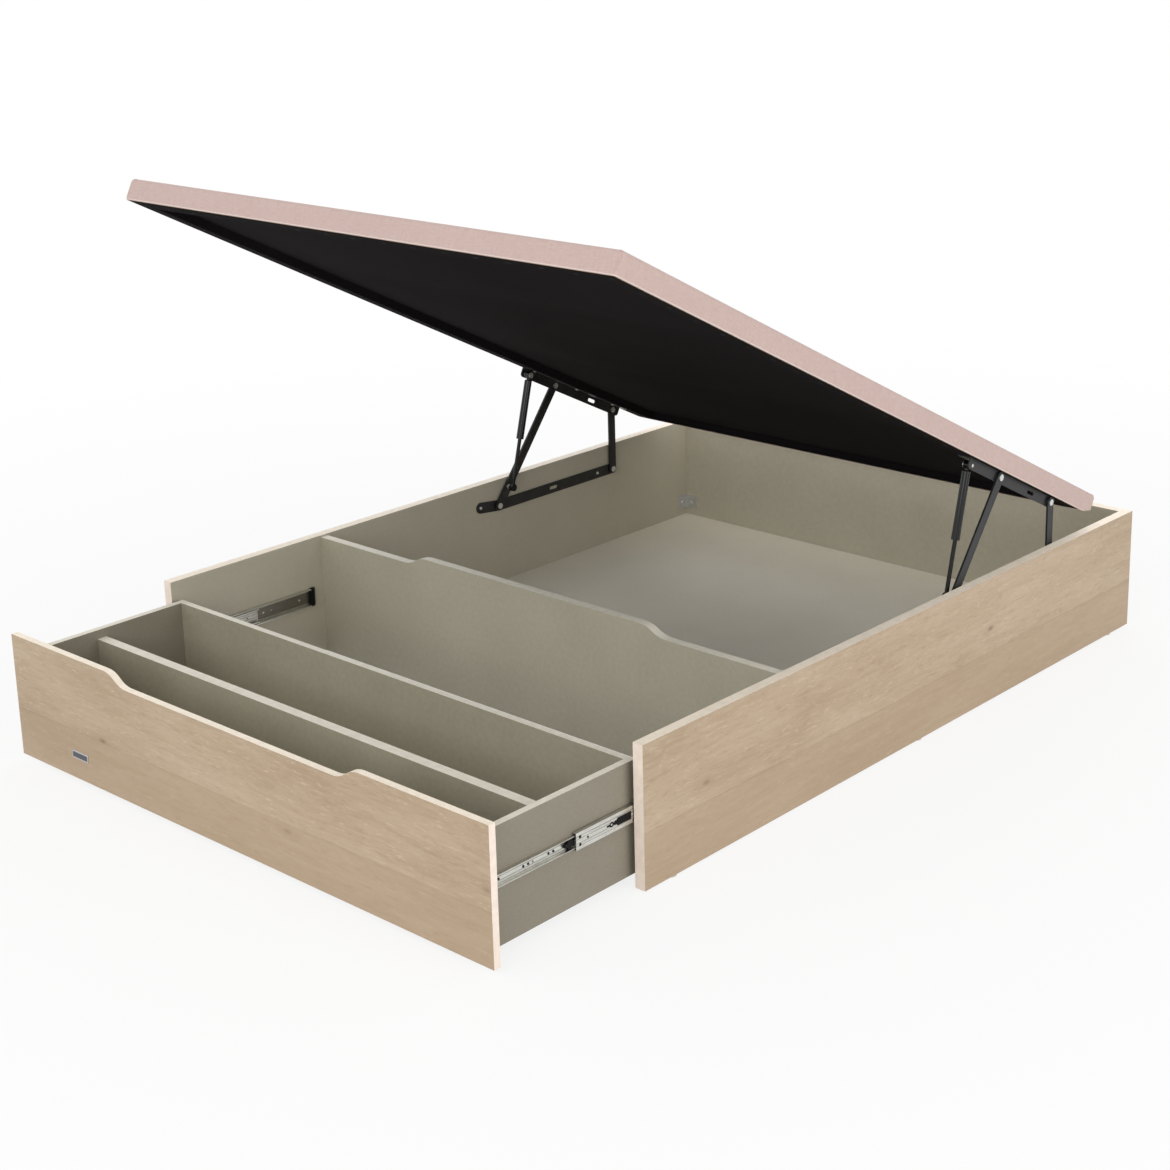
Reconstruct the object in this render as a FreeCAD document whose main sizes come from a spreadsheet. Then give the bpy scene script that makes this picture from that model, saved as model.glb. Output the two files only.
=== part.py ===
import FreeCAD, Part
import math
import os

import Sketcher

Vector = FreeCAD.Vector
doc = FreeCAD.newDocument("StorageBed")

# Driving dimensions in millimetres, angles in degrees
sizes = {
    # box
    "bedWidth": "1500",
    "bedLength": "1900",
    "boxHeight": "310",
    "panelThick": "25",
    "boardThick": "16",
    "glideHeight": "4",
    "glideRadius": "12",
    "glideInset": "90",
    "partitionDrop": "4",
    "partitionThick": "22",
    "tabRise": "22",
    "tabHalf": "337",
    "tabRun": "80",
    "floorThick": "10",
    "floorBattenHeight": "10",
    "floorBattenWidth": "60",
    "dowelRadius": "4",
    "dowelInPanel": "12",
    "dowelInEnd": "20",
    "dowelFit": "0.05",
    "bracketLeg": "40",
    "bracketHeight": "40",
    "bracketThick": "2",
    "bracketLift": "20",
    "bracketHoleRadius": "2.5",
    # drawer
    "frontThick": "16",
    "frontGap": "2",
    "frontLow": "13",
    "frontDrop": "12",
    "notchDepth": "26",
    "notchHalf": "329",
    "notchRun": "76",
    "drawerSpare": "12",
    "drawerLow": "26",
    "drawerDrop": "45",
    "dividerPlace": "165",
    "dividerThick": "24",
    "dividerDrop": "21",
    "bottomThick": "8",
    "bottomLift": "12",
    "grooveDepth": "6",
    # drawer slides
    "slideGap": "13",
    "slideHeight": "45",
    "slideLength": "400",
    "slideSetback": "4",
    "slideOverlap": "11",
    "slideRoom": "48",
    "slideLevel": "161",
    "sheetThick": "1.2",
    "ballRadius": "1.5",
    "ballClear": "0.3",
    "webGap": "1",
    "lipReach": "10.6",
    "lipTurn": "1.5",
    "innerReach": "8.4",
    "embossHalf": "9",
    "embossRise": "0.5",
    "windowSide": "6",
    "windowInset": "8",
    "windowLevel": "8",
    "stripLength": "=slideLength * 3 / 8",
    "stripThick": "0.8",
    "stripWidth": "4",
    "latchLength": "26",
    "latchDepth": "6",
    "bumperLength": "9",
    "capLength": "16",
    "slideHoleRadius": "2.4",
    "slideSlotLength": "24",
    "slideSlotRadius": "4.5",
    # lid
    "lidSideInset": "17.5",
    "lidOverhang": "41",
    "lidThick": "50",
    "coverThick": "4",
    "coverRound": "10",
    "lidBevelRun": "45",
    "lidBevelRise": "12",
    "lidBoardThick": "6",
    "timberWidth": "50",
    "recessDepth": "20",
    "dustThick": "1",
    "lidBattenWidth": "70",
    "lidAngle": "26.8",
    "lidOpenBack": "182",
    "lidOpenLift": "31",
    "lidClosedBack": "1",
    "lidSeat": "0.5",
    # lift linkage
    "railThick": "3",
    "railHeight": "30",
    "railDrop": "72",
    "railTip": "66",
    "railTipRise": "8",
    "railSlotLength": "22",
    "railScrewInset": "60",
    "upperRailWidth": "35",
    "upperRailDrop": "27",
    "upperRailRear": "26",
    "upperRailFront": "18",
    "upperRailRound": "9",
    "frontPivot": "448",
    "rearPivot": "190",
    "strutPivot": "573",
    "pivotDrop": "14",
    "strutDrop": "17",
    "strutFoot": "59",
    "armThick": "5",
    "armWidth": "26",
    "linkWidth": "25",
    "pinRadius": "5",
    "pinHeadRadius": "8",
    "pinHeadHeight": "2.2",
    "pinFit": "0.05",
    "sideClear": "0.3",
    "collarThick": "0.7",
    "strutClear": "1.2",
    "screwRadius": "2.2",
    "screwHeadRadius": "4.5",
    "screwHeadHeight": "2",
    "screwReach": "14",
    # gas struts
    "tubeRadius": "10",
    "tubeWall": "1.4",
    "tubeLength": "160",
    "tubeCap": "7",
    "strutEyeRadius": "10",
    "strutEyeWidth": "12",
    "strutPinRadius": "4",
    "rodRadius": "5",
    "pistonLength": "12",
    "pistonClear": "0.3",
    "rodFit": "0.06",
    "neckLength": "5",
    # cuts
    "overrun": "5",
}

sheet = doc.addObject("Spreadsheet::Sheet", "Sizes")
for row, (alias, value) in enumerate(sizes.items(), start=1):
    sheet.set(f"A{row}", alias)
    sheet.set(f"B{row}", value)
    sheet.setAlias(f"B{row}", alias)
doc.recompute()


def size(alias):
    return float(sheet.get(alias))


# Places shared by several pieces, worked out from the sheet
halfWidth = size("bedWidth") / 2
innerHalf = halfWidth - size("panelThick")
sideLength = size("bedLength") - size("frontThick") - size("frontGap")
drawerPull = size("slideLength") - size("slideOverlap")
footY = (drawerPull + size("frontGap") + size("frontThick") - sideLength) / 2
headY = footY + sideLength
headInner = headY - size("panelThick")
partitionY = footY + size("slideSetback") + size("slideLength") + size("slideRoom")
storageY = partitionY + size("partitionThick")
frontBack = footY - size("frontGap") - drawerPull
drawerHalf = innerHalf - size("slideGap")
drawerInner = drawerHalf - size("boardThick")
drawerTail = frontBack + size("slideLength") + size("drawerSpare")
bottomLow = size("drawerLow") + size("bottomLift")
bottomTop = bottomLow + size("bottomThick")
railLevel = size("boxHeight") - size("railDrop")
floorLow = size("floorBattenHeight")
floorTop = floorLow + size("floorThick")
sides = {"left": -1, "right": 1}
nodes = []


def keep(item, label):
    item.Label = label
    nodes.append(item)
    return item


def board(name, length, width, height, corner):
    item = doc.addObject("Part::Box", name)
    item.setExpression("Length", length)
    item.setExpression("Width", width)
    item.setExpression("Height", height)
    item.Placement.Base = Vector(*corner)
    return item


def rod(name, radius, length, base, axis):
    item = doc.addObject("Part::Cylinder", name)
    item.setExpression("Radius", radius)
    item.setExpression("Height", length)
    item.Placement = FreeCAD.Placement(Vector(*base), FreeCAD.Rotation(Vector(0, 0, 1), Vector(*axis)))
    return item


def cutAway(name, base, tools):
    bundle = doc.addObject("Part::Compound", name + "Tools")
    bundle.Links = tools
    item = doc.addObject("Part::Cut", name)
    item.Base = base
    item.Tool = bundle
    return item


def copies(label, shapes):
    item = doc.addObject("Part::Feature", label)
    item.Shape = Part.makeCompound(shapes)
    return keep(item, label)


def newSketch(body, role, name):
    plane = next(f for f in body.Origin.OriginFeatures if f.Role == role)
    sketch = body.newObject("Sketcher::SketchObject", name)
    sketch.AttachmentSupport = [(plane, "")]
    sketch.MapMode = "FlatFace"
    return sketch


def drawOutline(sketch, outline):
    # A point is reached by a line, a pair of points by an arc through the first of them
    here = outline[0]
    pieces = []
    for step in outline[1:] + outline[:1]:
        if isinstance(step[0], tuple):
            middle, there = step
            curve = Part.Arc(Vector(*here, 0), Vector(*middle, 0), Vector(*there, 0))
        else:
            there = step
            if there == here:
                continue
            curve = Part.LineSegment(Vector(*here, 0), Vector(*there, 0))
        pieces.append(sketch.addGeometry(curve, False))
        here = there
    for first, second in zip(pieces, pieces[1:] + pieces[:1]):
        ends = [(i, j) for i in (1, 2) for j in (1, 2)
                if sketch.getPoint(first, i).isEqual(sketch.getPoint(second, j), size("pinFit"))]
        sketch.addConstraint(Sketcher.Constraint("Coincident", first, ends[0][0], second, ends[0][1]))


def drawHole(sketch, centre, radius, expression):
    circle = sketch.addGeometry(Part.Circle(Vector(*centre, 0), Vector(0, 0, 1), radius), False)
    index = sketch.addConstraint(Sketcher.Constraint("Radius", circle, radius))
    sketch.setExpression(f"Constraints[{index}]", expression)


def padded(name, role, outline, length, holes=()):
    body = doc.addObject("PartDesign::Body", name)
    sketch = newSketch(body, role, name + "Outline")
    drawOutline(sketch, outline)
    for centre, radius, expression in holes:
        drawHole(sketch, centre, radius, expression)
    pad = body.newObject("PartDesign::Pad", name + "Pad")
    pad.Profile = sketch
    pad.setExpression("Length", length)
    doc.recompute()
    return body


def stadium(start, end, radius):
    return [(start, -radius), (end, -radius), ((end + radius, 0), (end, radius)),
            (start, radius), ((start - radius, 0), (start, -radius))]


def moved(outline, change):
    return [tuple(change(point) for point in step) if isinstance(step[0], tuple) else change(step)
            for step in outline]


def easeCurve(start, end):
    # Two equal arcs, level at both ends
    run, rise = end[0] - start[0], end[1] - start[1]
    slope = math.atan2(abs(rise), abs(run))
    radius = (run * run + rise * rise) / (4 * abs(rise))
    aside = math.copysign(radius * math.sin(slope), run)
    above = math.copysign(radius * (1 - math.cos(slope)), rise)
    middle = (start[0] + run / 2, start[1] + rise / 2)
    first = ((start[0] + aside, start[1] + above), middle)
    second = ((end[0] - aside, end[1] - above), end)
    return [first, second]


def turned(profile, place, direction):
    # Round piece from (axial, radius) pairs, its axis along X from the place
    points = [Vector(a, r, 0) for a, r in profile]
    face = Part.Face(Part.makePolygon(points + points[:1]))
    solid = face.revolve(Vector(0, 0, 0), Vector(1, 0, 0), 360)
    if direction < 0:
        solid.rotate(Vector(0, 0, 0), Vector(0, 0, 1), 180)
    solid.translate(Vector(*place))
    return solid


def stepped(stages):
    # Axial and radius pairs of a stepped pin from (end, radius) stages that start at the first end
    start = stages[0][0]
    profile = [(start, 0)]
    for end, radius in stages[1:]:
        profile += [(start, radius), (end, radius)]
        start = end
    return profile + [(start, 0)]


def inward(side, depth):
    return side * (innerHalf - depth)


def slab(side, near, far):
    # Lower X of a plate that lies from near to far inside the panel's inner face
    return min(inward(side, near), inward(side, far))


# Lift linkage: places of its pivots in the closed and the open pose
lidAngle = math.radians(size("lidAngle"))
openEdge = (headY - size("lidOpenBack"), size("boxHeight") + size("lidOpenLift"))
closedEdge = (headY - size("lidClosedBack"), size("boxHeight") + size("lidSeat"))


def onLid(edge, angle, along, below):
    return (edge[0] - along * math.cos(angle) - below * math.sin(angle),
            edge[1] + along * math.sin(angle) - below * math.cos(angle))


def openPoint(along, below):
    return onLid(openEdge, lidAngle, along, below)


def lowerPivot(along, below):
    # A lower pivot is as far from the upper one closed as open, so it is on their mid-perpendicular
    opened, closed = openPoint(along, below), onLid(closedEdge, 0, along, below)
    middle = [(a + b) / 2 for a, b in zip(opened, closed)]
    across = [b - a for a, b in zip(opened, closed)]
    return (middle[0] - (railLevel - middle[1]) * across[1] / across[0], railLevel)


frontTop = openPoint(size("frontPivot"), size("pivotDrop"))
rearTop = openPoint(size("rearPivot"), size("pivotDrop"))
strutTop = openPoint(size("strutPivot"), size("strutDrop"))
frontBase = lowerPivot(size("frontPivot"), size("pivotDrop"))
rearBase = lowerPivot(size("rearPivot"), size("pivotDrop"))
armLength = math.dist(frontBase, frontTop)
linkLength = math.dist(rearBase, rearTop)
armAngle = math.degrees(math.atan2(frontTop[1] - frontBase[1], frontTop[0] - frontBase[0]))
linkAngle = math.degrees(math.atan2(rearTop[1] - rearBase[1], rearTop[0] - rearBase[0]))
strutBase = (frontBase[0] + size("strutFoot") * math.cos(math.radians(armAngle)),
             frontBase[1] + size("strutFoot") * math.sin(math.radians(armAngle)))
strutLength = math.dist(strutBase, strutTop)
strutAngle = math.degrees(math.atan2(strutBase[1] - strutTop[1], strutBase[0] - strutTop[0]))

# Layers of the linkage, counted inwards from the side panel's inner face
armNear = size("railThick") + size("collarThick") + size("sideClear")
armFar = armNear + size("armThick")
upperNear = armFar + size("sideClear") + size("collarThick")
upperFar = upperNear + size("railThick")
strutLine = upperFar + size("strutClear") + size("tubeRadius")
strutNear = strutLine - size("strutEyeWidth") / 2
strutFar = strutNear + size("strutEyeWidth")

# Screw places on the rails
railLength = rearBase[0] - frontBase[0]
tipTurn = math.asin(size("railTipRise") / size("railTip"))


def tipTurned(point):
    # The front tip of a lower rail is bent up about its front pivot
    along, above = point
    return (along * math.cos(tipTurn) + above * math.sin(tipTurn),
            above * math.cos(tipTurn) - along * math.sin(tipTurn))


railScrews = [tipTurned((-size("railTip"), 0)), (railLength - size("railScrewInset"), 0)]
upperStart = size("rearPivot") - size("upperRailRear")
upperEnd = size("strutPivot") + size("upperRailFront")
upperScrewShares = (0.12, 0.5, 0.93)
upperScrews = [upperStart + share * (upperEnd - upperStart) for share in upperScrewShares]
upperScrewLine = upperNear + size("upperRailWidth") / 2
screwHole = size("screwRadius") + size("sideClear")

# Side panels: drilled for dowels and the lower rails' screws
dowelShares = (0.15, 0.5, 0.85)
panelLow = size("glideHeight")
dowelHeights = [panelLow + share * (size("boxHeight") - panelLow) for share in dowelShares]
dowelHole = "Sizes.dowelRadius + Sizes.dowelFit"
dowelRows = {"partition": partitionY + size("partitionThick") / 2, "head": headY - size("panelThick") / 2}


def dowelHoles(name, row, side, low, length):
    place = dowelRows[row]
    return [rod(f"{name}{row}{i}", dowelHole, length, (low, place, height), (side, 0, 0))
            for i, height in enumerate(dowelHeights)]


for sideName, side in sides.items():
    title = "sidePanel" + sideName
    corner = (min(side * innerHalf, side * halfWidth), footY, size("glideHeight"))
    blank = board(title + "Blank", "Sizes.panelThick", "Sizes.bedLength - Sizes.frontThick - Sizes.frontGap",
                  "Sizes.boxHeight - Sizes.glideHeight", corner)
    drills = []
    for row in dowelRows:
        drills += dowelHoles(title, row, side, side * innerHalf, "Sizes.dowelInPanel + Sizes.dowelFit")
    for i, (along, above) in enumerate(railScrews):
        drills.append(rod(f"{title}Pilot{i}", "Sizes.screwRadius + Sizes.sideClear", "Sizes.screwReach",
                          (side * innerHalf, frontBase[0] + along, railLevel + above), (side, 0, 0)))
    keep(cutAway(title, blank, drills), "side_panel_" + sideName)

# Head panel between the side panels
blank = board("headBlank", "Sizes.bedWidth - 2 * Sizes.panelThick", "Sizes.panelThick",
              "Sizes.boxHeight - Sizes.glideHeight", (-innerHalf, headInner, size("glideHeight")))
drills = []
for sideName, side in sides.items():
    drills += dowelHoles("head" + sideName, "head", -side, side * innerHalf,
                         "Sizes.dowelInEnd + Sizes.dowelFit")
keep(cutAway("headPanel", blank, drills), "head_panel")

# Partition with a raised centre that reaches up into the lid
endTop = size("boxHeight") - size("partitionDrop")
tabTop = endTop + size("tabRise")
tabOuter = size("tabHalf") + size("tabRun")
outline = [(-innerHalf, panelLow), (innerHalf, panelLow), (innerHalf, endTop), (tabOuter, endTop)]
outline += easeCurve((tabOuter, endTop), (size("tabHalf"), tabTop))
outline += [(-size("tabHalf"), tabTop)]
outline += easeCurve((-size("tabHalf"), tabTop), (-tabOuter, endTop))
outline += [(-innerHalf, endTop)]
body = padded("partitionBlank", "XZ_Plane", outline, "Sizes.partitionThick")
body.Placement.Base = Vector(0, storageY, 0)
drills = []
for sideName, side in sides.items():
    drills += dowelHoles("part" + sideName, "partition", -side, side * innerHalf,
                         "Sizes.dowelInEnd + Sizes.dowelFit")
keep(cutAway("partitionPanel", body, drills), "partition_panel")

dowelLength = size("dowelInPanel") + size("dowelInEnd")
dowels = []
for side in sides.values():
    for place in dowelRows.values():
        for height in dowelHeights:
            start = Vector(side * (innerHalf + size("dowelInPanel")), place, height)
            dowels.append(Part.makeCylinder(size("dowelRadius"), dowelLength, start, Vector(-side, 0, 0)))
copies("panel_dowels", dowels)

# Storage floor on battens that lie on the room's floor
storageDepth = headInner - storageY
keep(board("storageFloor", "Sizes.bedWidth - 2 * Sizes.panelThick",
           "Sizes.bedLength - Sizes.frontThick - Sizes.frontGap - Sizes.slideSetback - Sizes.slideLength"
           " - Sizes.slideRoom - Sizes.partitionThick - Sizes.panelThick",
           "Sizes.floorThick", (-innerHalf, storageY, floorLow)), "storage_floor")
floorBattenShares = (0.1, 0.37, 0.63, 0.9)
battens = []
for i, share in enumerate(floorBattenShares):
    start = storageY + share * storageDepth - size("floorBattenWidth") / 2
    battens.append(board(f"floorBatten{i}", "Sizes.bedWidth - 2 * Sizes.panelThick",
                         "Sizes.floorBattenWidth", "Sizes.floorBattenHeight", (-innerHalf, start, 0)))
group = doc.addObject("Part::Compound", "floorBattens")
group.Links = battens
keep(group, "floor_battens")

# Glides under the panels
glideEnds = [footY + size("glideInset"), headY - size("glideInset")]
glideShares = (0, 0.5, 1)
glidePlaces = []
for share in glideShares:
    along = glideEnds[0] + share * (glideEnds[1] - glideEnds[0])
    glidePlaces += [(side * (halfWidth - size("panelThick") / 2), along) for side in sides.values()]
copies("floor_glides", [Part.makeCylinder(size("glideRadius"), size("glideHeight"), Vector(x, y, 0))
                        for x, y in glidePlaces])

# Steel angle brackets in the four corners of the storage well
leg, thick = size("bracketLeg"), size("bracketThick")
outline = [(0, 0), (leg, 0), (leg, thick), (thick, thick), (thick, leg), (0, leg)]
bracket = padded("bracketBlank", "XY_Plane", outline, "Sizes.bracketHeight")
legMiddle = (leg + thick) / 2
holeHeight = size("bracketHeight") / 2
bracketHole = "Sizes.bracketHoleRadius"
drills = [rod("bracketHoleA", bracketHole, "Sizes.bracketThick + 2 * Sizes.overrun",
              (legMiddle, -size("overrun"), holeHeight), (0, 1, 0)),
          rod("bracketHoleB", bracketHole, "Sizes.bracketThick + 2 * Sizes.overrun",
              (-size("overrun"), legMiddle, holeHeight), (1, 0, 0))]
cornerBracket = cutAway("cornerBracket", bracket, drills)
doc.recompute()
brackets = []
bracketLow = floorTop + size("bracketLift")
for cornerX, cornerY, turn in ((-innerHalf, storageY, 0), (innerHalf, storageY, 90),
                               (innerHalf, headInner, 180), (-innerHalf, headInner, 270)):
    place = FreeCAD.Placement(Vector(cornerX, cornerY, bracketLow), FreeCAD.Rotation(Vector(0, 0, 1), turn))
    copy = cornerBracket.Shape.copy()
    copy.Placement = place
    brackets.append(copy)
copies("corner_brackets", brackets)

# Lower rails of the lift linkage, flat on the side panels, with screws and pivot pins
pinHole = size("pinRadius") + size("pinFit")
pinHoleText = "Sizes.pinRadius + Sizes.pinFit"
studHole = size("strutPinRadius") + size("pinFit")
studHoleText = "Sizes.strutPinRadius + Sizes.pinFit"
screwHoleText = "Sizes.screwRadius + Sizes.sideClear"
slotRadius = size("screwHeadRadius") + size("sideClear")
lowerSlotShare = 0.474
slotStart = lowerSlotShare * railLength - size("railSlotLength") / 2
for sideName, side in sides.items():
    title = "lowerRail" + sideName
    body = padded(title, "YZ_Plane", stadium(0, railLength, size("railHeight") / 2), "Sizes.railThick")
    tip = newSketch(body, "YZ_Plane", title + "Tip")
    drawOutline(tip, moved(stadium(-size("railTip"), 0, size("railHeight") / 2), tipTurned))
    tipPad = body.newObject("PartDesign::Pad", title + "TipPad")
    tipPad.Profile = tip
    tipPad.setExpression("Length", "Sizes.railThick")
    doc.recompute()
    holes = newSketch(body, "YZ_Plane", title + "Holes")
    for place in ((0, 0), (railLength, 0)):
        drawHole(holes, place, pinHole, pinHoleText)
    for place in railScrews:
        drawHole(holes, place, screwHole, screwHoleText)
    drawOutline(holes, stadium(slotStart, slotStart + size("railSlotLength"), slotRadius))
    pocket = body.newObject("PartDesign::Pocket", title + "HoleCut")
    pocket.Profile = holes
    pocket.Midplane = True
    pocket.Type = "ThroughAll"
    body.Placement.Base = Vector(slab(side, 0, size("railThick")), frontBase[0], railLevel)
    keep(body, "lower_rail_" + sideName)

screwStages = [(-size("screwReach") + size("overrun"), 0), (size("railThick"), size("screwRadius")),
               (size("railThick") + size("screwHeadHeight"), size("screwHeadRadius"))]
screws = []
lowerPins = []
headStart = armFar + size("sideClear")
pinStages = [(0, 0), (size("railThick"), size("pinRadius")),
             (size("railThick") + size("collarThick"), size("pinHeadRadius")),
             (headStart, size("pinRadius")), (headStart + size("pinHeadHeight"), size("pinHeadRadius"))]
for side in sides.values():
    for along, above in railScrews:
        place = (side * innerHalf, frontBase[0] + along, railLevel + above)
        screws.append(turned(stepped(screwStages), place, -side))
    for pivot in (frontBase, rearBase):
        lowerPins.append(turned(stepped(pinStages), (side * innerHalf, *pivot), -side))
copies("lower_rail_screws", screws)
copies("lower_pivot_pins", lowerPins)

# Ball-bearing slides: channel sections that nest with a ball's width between their flanges
half = size("slideHeight") / 2
sheetThick = size("sheetThick")
ballBand = 2 * (size("ballRadius") + size("ballClear"))
middleHalf = half - sheetThick - ballBand
innerMemberHalf = middleHalf - sheetThick - ballBand
middleWeb = sheetThick + size("webGap")
middleShare = 0.42
middleStep = middleShare * drawerPull
slideStart = footY + size("slideSetback")
slideHoleShares = (0.08, 0.3, 0.36, 0.7, 0.92)
slideSlotShare = 0.7
embossShares = (0.1, 0.9)
ballShares = (-0.42, 0, 0.42)


def channel(name, web, edge, halfHeight, side, lip):
    # The web stands at depth web, the flanges reach to depth edge and end in lips that turn in
    toward = math.copysign(1, edge - web)
    floor = web + toward * sheetThick
    lipBack = edge - toward * sheetThick
    flange = halfHeight - sheetThick
    lower = [(web, -halfHeight), (edge, -halfHeight), (edge, lip - flange), (lipBack, lip - flange),
             (lipBack, -flange), (floor, -flange)]
    bend = lower + [(depth, -level) for depth, level in reversed(lower)]
    outline = [(inward(side, depth), level) for depth, level in bend]
    return padded(name, "XZ_Plane", outline, "Sizes.slideLength")


def embossed(body, name, web, side):
    # Raised panel along the web, on the side that faces the bed's panel
    sketch = newSketch(body, "YZ_Plane", name + "Emboss")
    sketch.AttachmentOffset = FreeCAD.Placement(Vector(0, 0, inward(side, web)), FreeCAD.Rotation())
    ends = [-share * size("slideLength") for share in reversed(embossShares)]
    drawOutline(sketch, stadium(ends[0], ends[1], size("embossHalf")))
    raised = body.newObject("PartDesign::Pad", name + "EmbossPad")
    raised.Profile = sketch
    raised.Reversed = side < 0
    raised.setExpression("Length", "Sizes.embossRise")
    doc.recompute()


def frontWindow(level):
    # Square opening near the front end of a member
    start = size("windowInset") - size("slideLength")
    low, high = level - size("windowSide") / 2, level + size("windowSide") / 2
    end = start + size("windowSide")
    return [(start, low), (end, low), (end, high), (start, high)]


def drilled(body, name, label, start, windows=()):
    holes = newSketch(body, "YZ_Plane", name + "Holes")
    for share in slideHoleShares:
        place = -share * size("slideLength")
        if windows and share == slideSlotShare:
            reach = size("slideSlotLength") / 2
            drawOutline(holes, stadium(place - reach, place + reach, size("slideSlotRadius")))
        else:
            drawHole(holes, (place, 0), size("slideHoleRadius"), "Sizes.slideHoleRadius")
    for level in windows:
        drawOutline(holes, frontWindow(level))
    pocket = body.newObject("PartDesign::Pocket", name + "HoleCut")
    pocket.Profile = holes
    pocket.Midplane = True
    pocket.Type = "ThroughAll"
    body.Placement.Base = Vector(0, start + size("slideLength"), size("slideLevel"))
    keep(body, label)


for sideName, side in sides.items():
    name = "slideOuter" + sideName
    outer = channel(name, 0, size("lipReach"), half, side, size("lipTurn"))
    drilled(outer, name, "slide_outer_" + sideName, slideStart)
    name = "slideMiddle" + sideName
    middle = channel(name, middleWeb, size("lipReach"), middleHalf, side, size("lipTurn"))
    embossed(middle, name, middleWeb, side)
    drilled(middle, name, "slide_middle_" + sideName, slideStart - middleStep,
            (-size("windowLevel"), size("windowLevel")))
    name = "slideInner" + sideName
    inner = channel(name, size("slideGap"), size("slideGap") - size("innerReach"), innerMemberHalf, side, 0)
    drilled(inner, name, "slide_inner_" + sideName, slideStart - drawerPull)


def ballStrip(side, level, middle):
    # Retainer strip with its balls, at a height above the slide's middle line
    depth = (middleWeb + sheetThick + size("lipReach")) / 2
    centre = Vector(inward(side, depth), middle, size("slideLevel") + level)
    corner = centre - Vector(size("stripWidth") / 2, size("stripLength") / 2, size("stripThick") / 2)
    strip = Part.makeBox(size("stripWidth"), size("stripLength"), size("stripThick"), corner)
    for share in ballShares:
        along = Vector(0, share * size("stripLength"), 0)
        strip = strip.fuse(Part.makeSphere(size("ballRadius"), centre + along))
    return strip


outerLevel = middleHalf + ballBand / 2
innerLevel = innerMemberHalf + ballBand / 2
outerMiddle = slideStart + (size("slideLength") - middleStep) / 2
innerMiddle = slideStart + (size("slideLength") - drawerPull - middleStep) / 2
copies("outer_ball_strips", [ballStrip(side, up * outerLevel, outerMiddle)
                             for side in sides.values() for up in (-1, 1)])
copies("inner_ball_strips", [ballStrip(side, up * innerLevel, innerMiddle)
                             for side in sides.values() for up in (-1, 1)])

# Plastic latch in each inner member and bumpers in the front end of each middle member
latches = []
bumpers = []
latchStart = slideStart - middleStep - size("latchLength")
latchHalf = innerMemberHalf - sheetThick
latchShares = ((0, 0.3), (0.28, 0.36), (0.42, 1), (0.7, 1), (0.66, 0.5), (1, 0.62))
latchSides = list(latchShares) + [(along, -up) for along, up in reversed(latchShares)]
bumperDepth = size("lipReach") - middleWeb - 2 * sheetThick
bumperHeight = ballBand - size("ballClear")
for side in sides.values():
    near = size("slideGap") - sheetThick - size("latchDepth")
    low = slab(side, near, near + size("latchDepth"))
    points = [Vector(low, latchStart + along * size("latchLength"), size("slideLevel") + up * latchHalf)
              for along, up in latchSides]
    lever = Part.Face(Part.makePolygon(points + points[:1]))
    latches.append(lever.extrude(Vector(size("latchDepth"), 0, 0)))
    for up in (-1, 1):
        edge = up * (middleHalf - sheetThick)
        foot = size("slideLevel") + min(edge, edge - up * bumperHeight)
        depths = (middleWeb + sheetThick, size("lipReach") - sheetThick)
        low = Vector(slab(side, *depths), slideStart - middleStep, foot)
        bumpers.append(Part.makeBox(bumperDepth, size("bumperLength"), bumperHeight, low))
copies("slide_latches", latches)
copies("slide_bumpers", bumpers)

# Plastic cap on the rear end of each outer member, clear of the members that travel inside it
capSection = [(0, 0), (sheetThick, 0), (sheetThick, size("webGap")), (size("lipReach"), size("webGap")),
              (size("lipReach"), size("capLength") / 2), (size("lipReach") / 2, size("capLength")),
              (0, size("capLength"))]
capFoot = slideStart + size("slideLength")
caps = []
for side in sides.values():
    points = [Vector(inward(side, depth), capFoot + along, size("slideLevel") - half)
              for depth, along in capSection]
    caps.append(Part.Face(Part.makePolygon(points + points[:1])).extrude(Vector(0, 0, size("slideHeight"))))
copies("slide_end_caps", caps)

# Drawer front with a finger notch in its top edge, grooved for the bottom
faceTop = size("boxHeight") - size("frontDrop")
notchLow = faceTop - size("notchDepth")
notchOuter = size("notchHalf") + size("notchRun")
faceLow = size("frontLow")
outline = [(-halfWidth, faceLow), (halfWidth, faceLow), (halfWidth, faceTop), (notchOuter, faceTop)]
outline += easeCurve((notchOuter, faceTop), (size("notchHalf"), notchLow))
outline += [(-size("notchHalf"), notchLow)]
outline += easeCurve((-size("notchHalf"), notchLow), (-notchOuter, faceTop))
outline += [(-halfWidth, faceTop)]
body = padded("drawerFrontBlank", "XZ_Plane", outline, "Sizes.frontThick")
body.Placement.Base = Vector(0, frontBack, 0)
grooveHalf = drawerInner + size("grooveDepth")
grooveWidth = ("Sizes.bedWidth - 2 * (Sizes.panelThick + Sizes.slideGap"
               " + Sizes.boardThick - Sizes.grooveDepth)")
drawerLong = "(Sizes.slideLength + Sizes.drawerSpare)"
drawerHigh = "(Sizes.boxHeight - Sizes.drawerDrop - Sizes.drawerLow)"
bottomDepth = drawerLong + " - Sizes.boardThick + 2 * Sizes.grooveDepth"
bottomCorner = (-grooveHalf, frontBack - size("grooveDepth"), bottomLow)


def bottomBlank(name):
    return board(name, grooveWidth, bottomDepth, "Sizes.bottomThick", bottomCorner)


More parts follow.
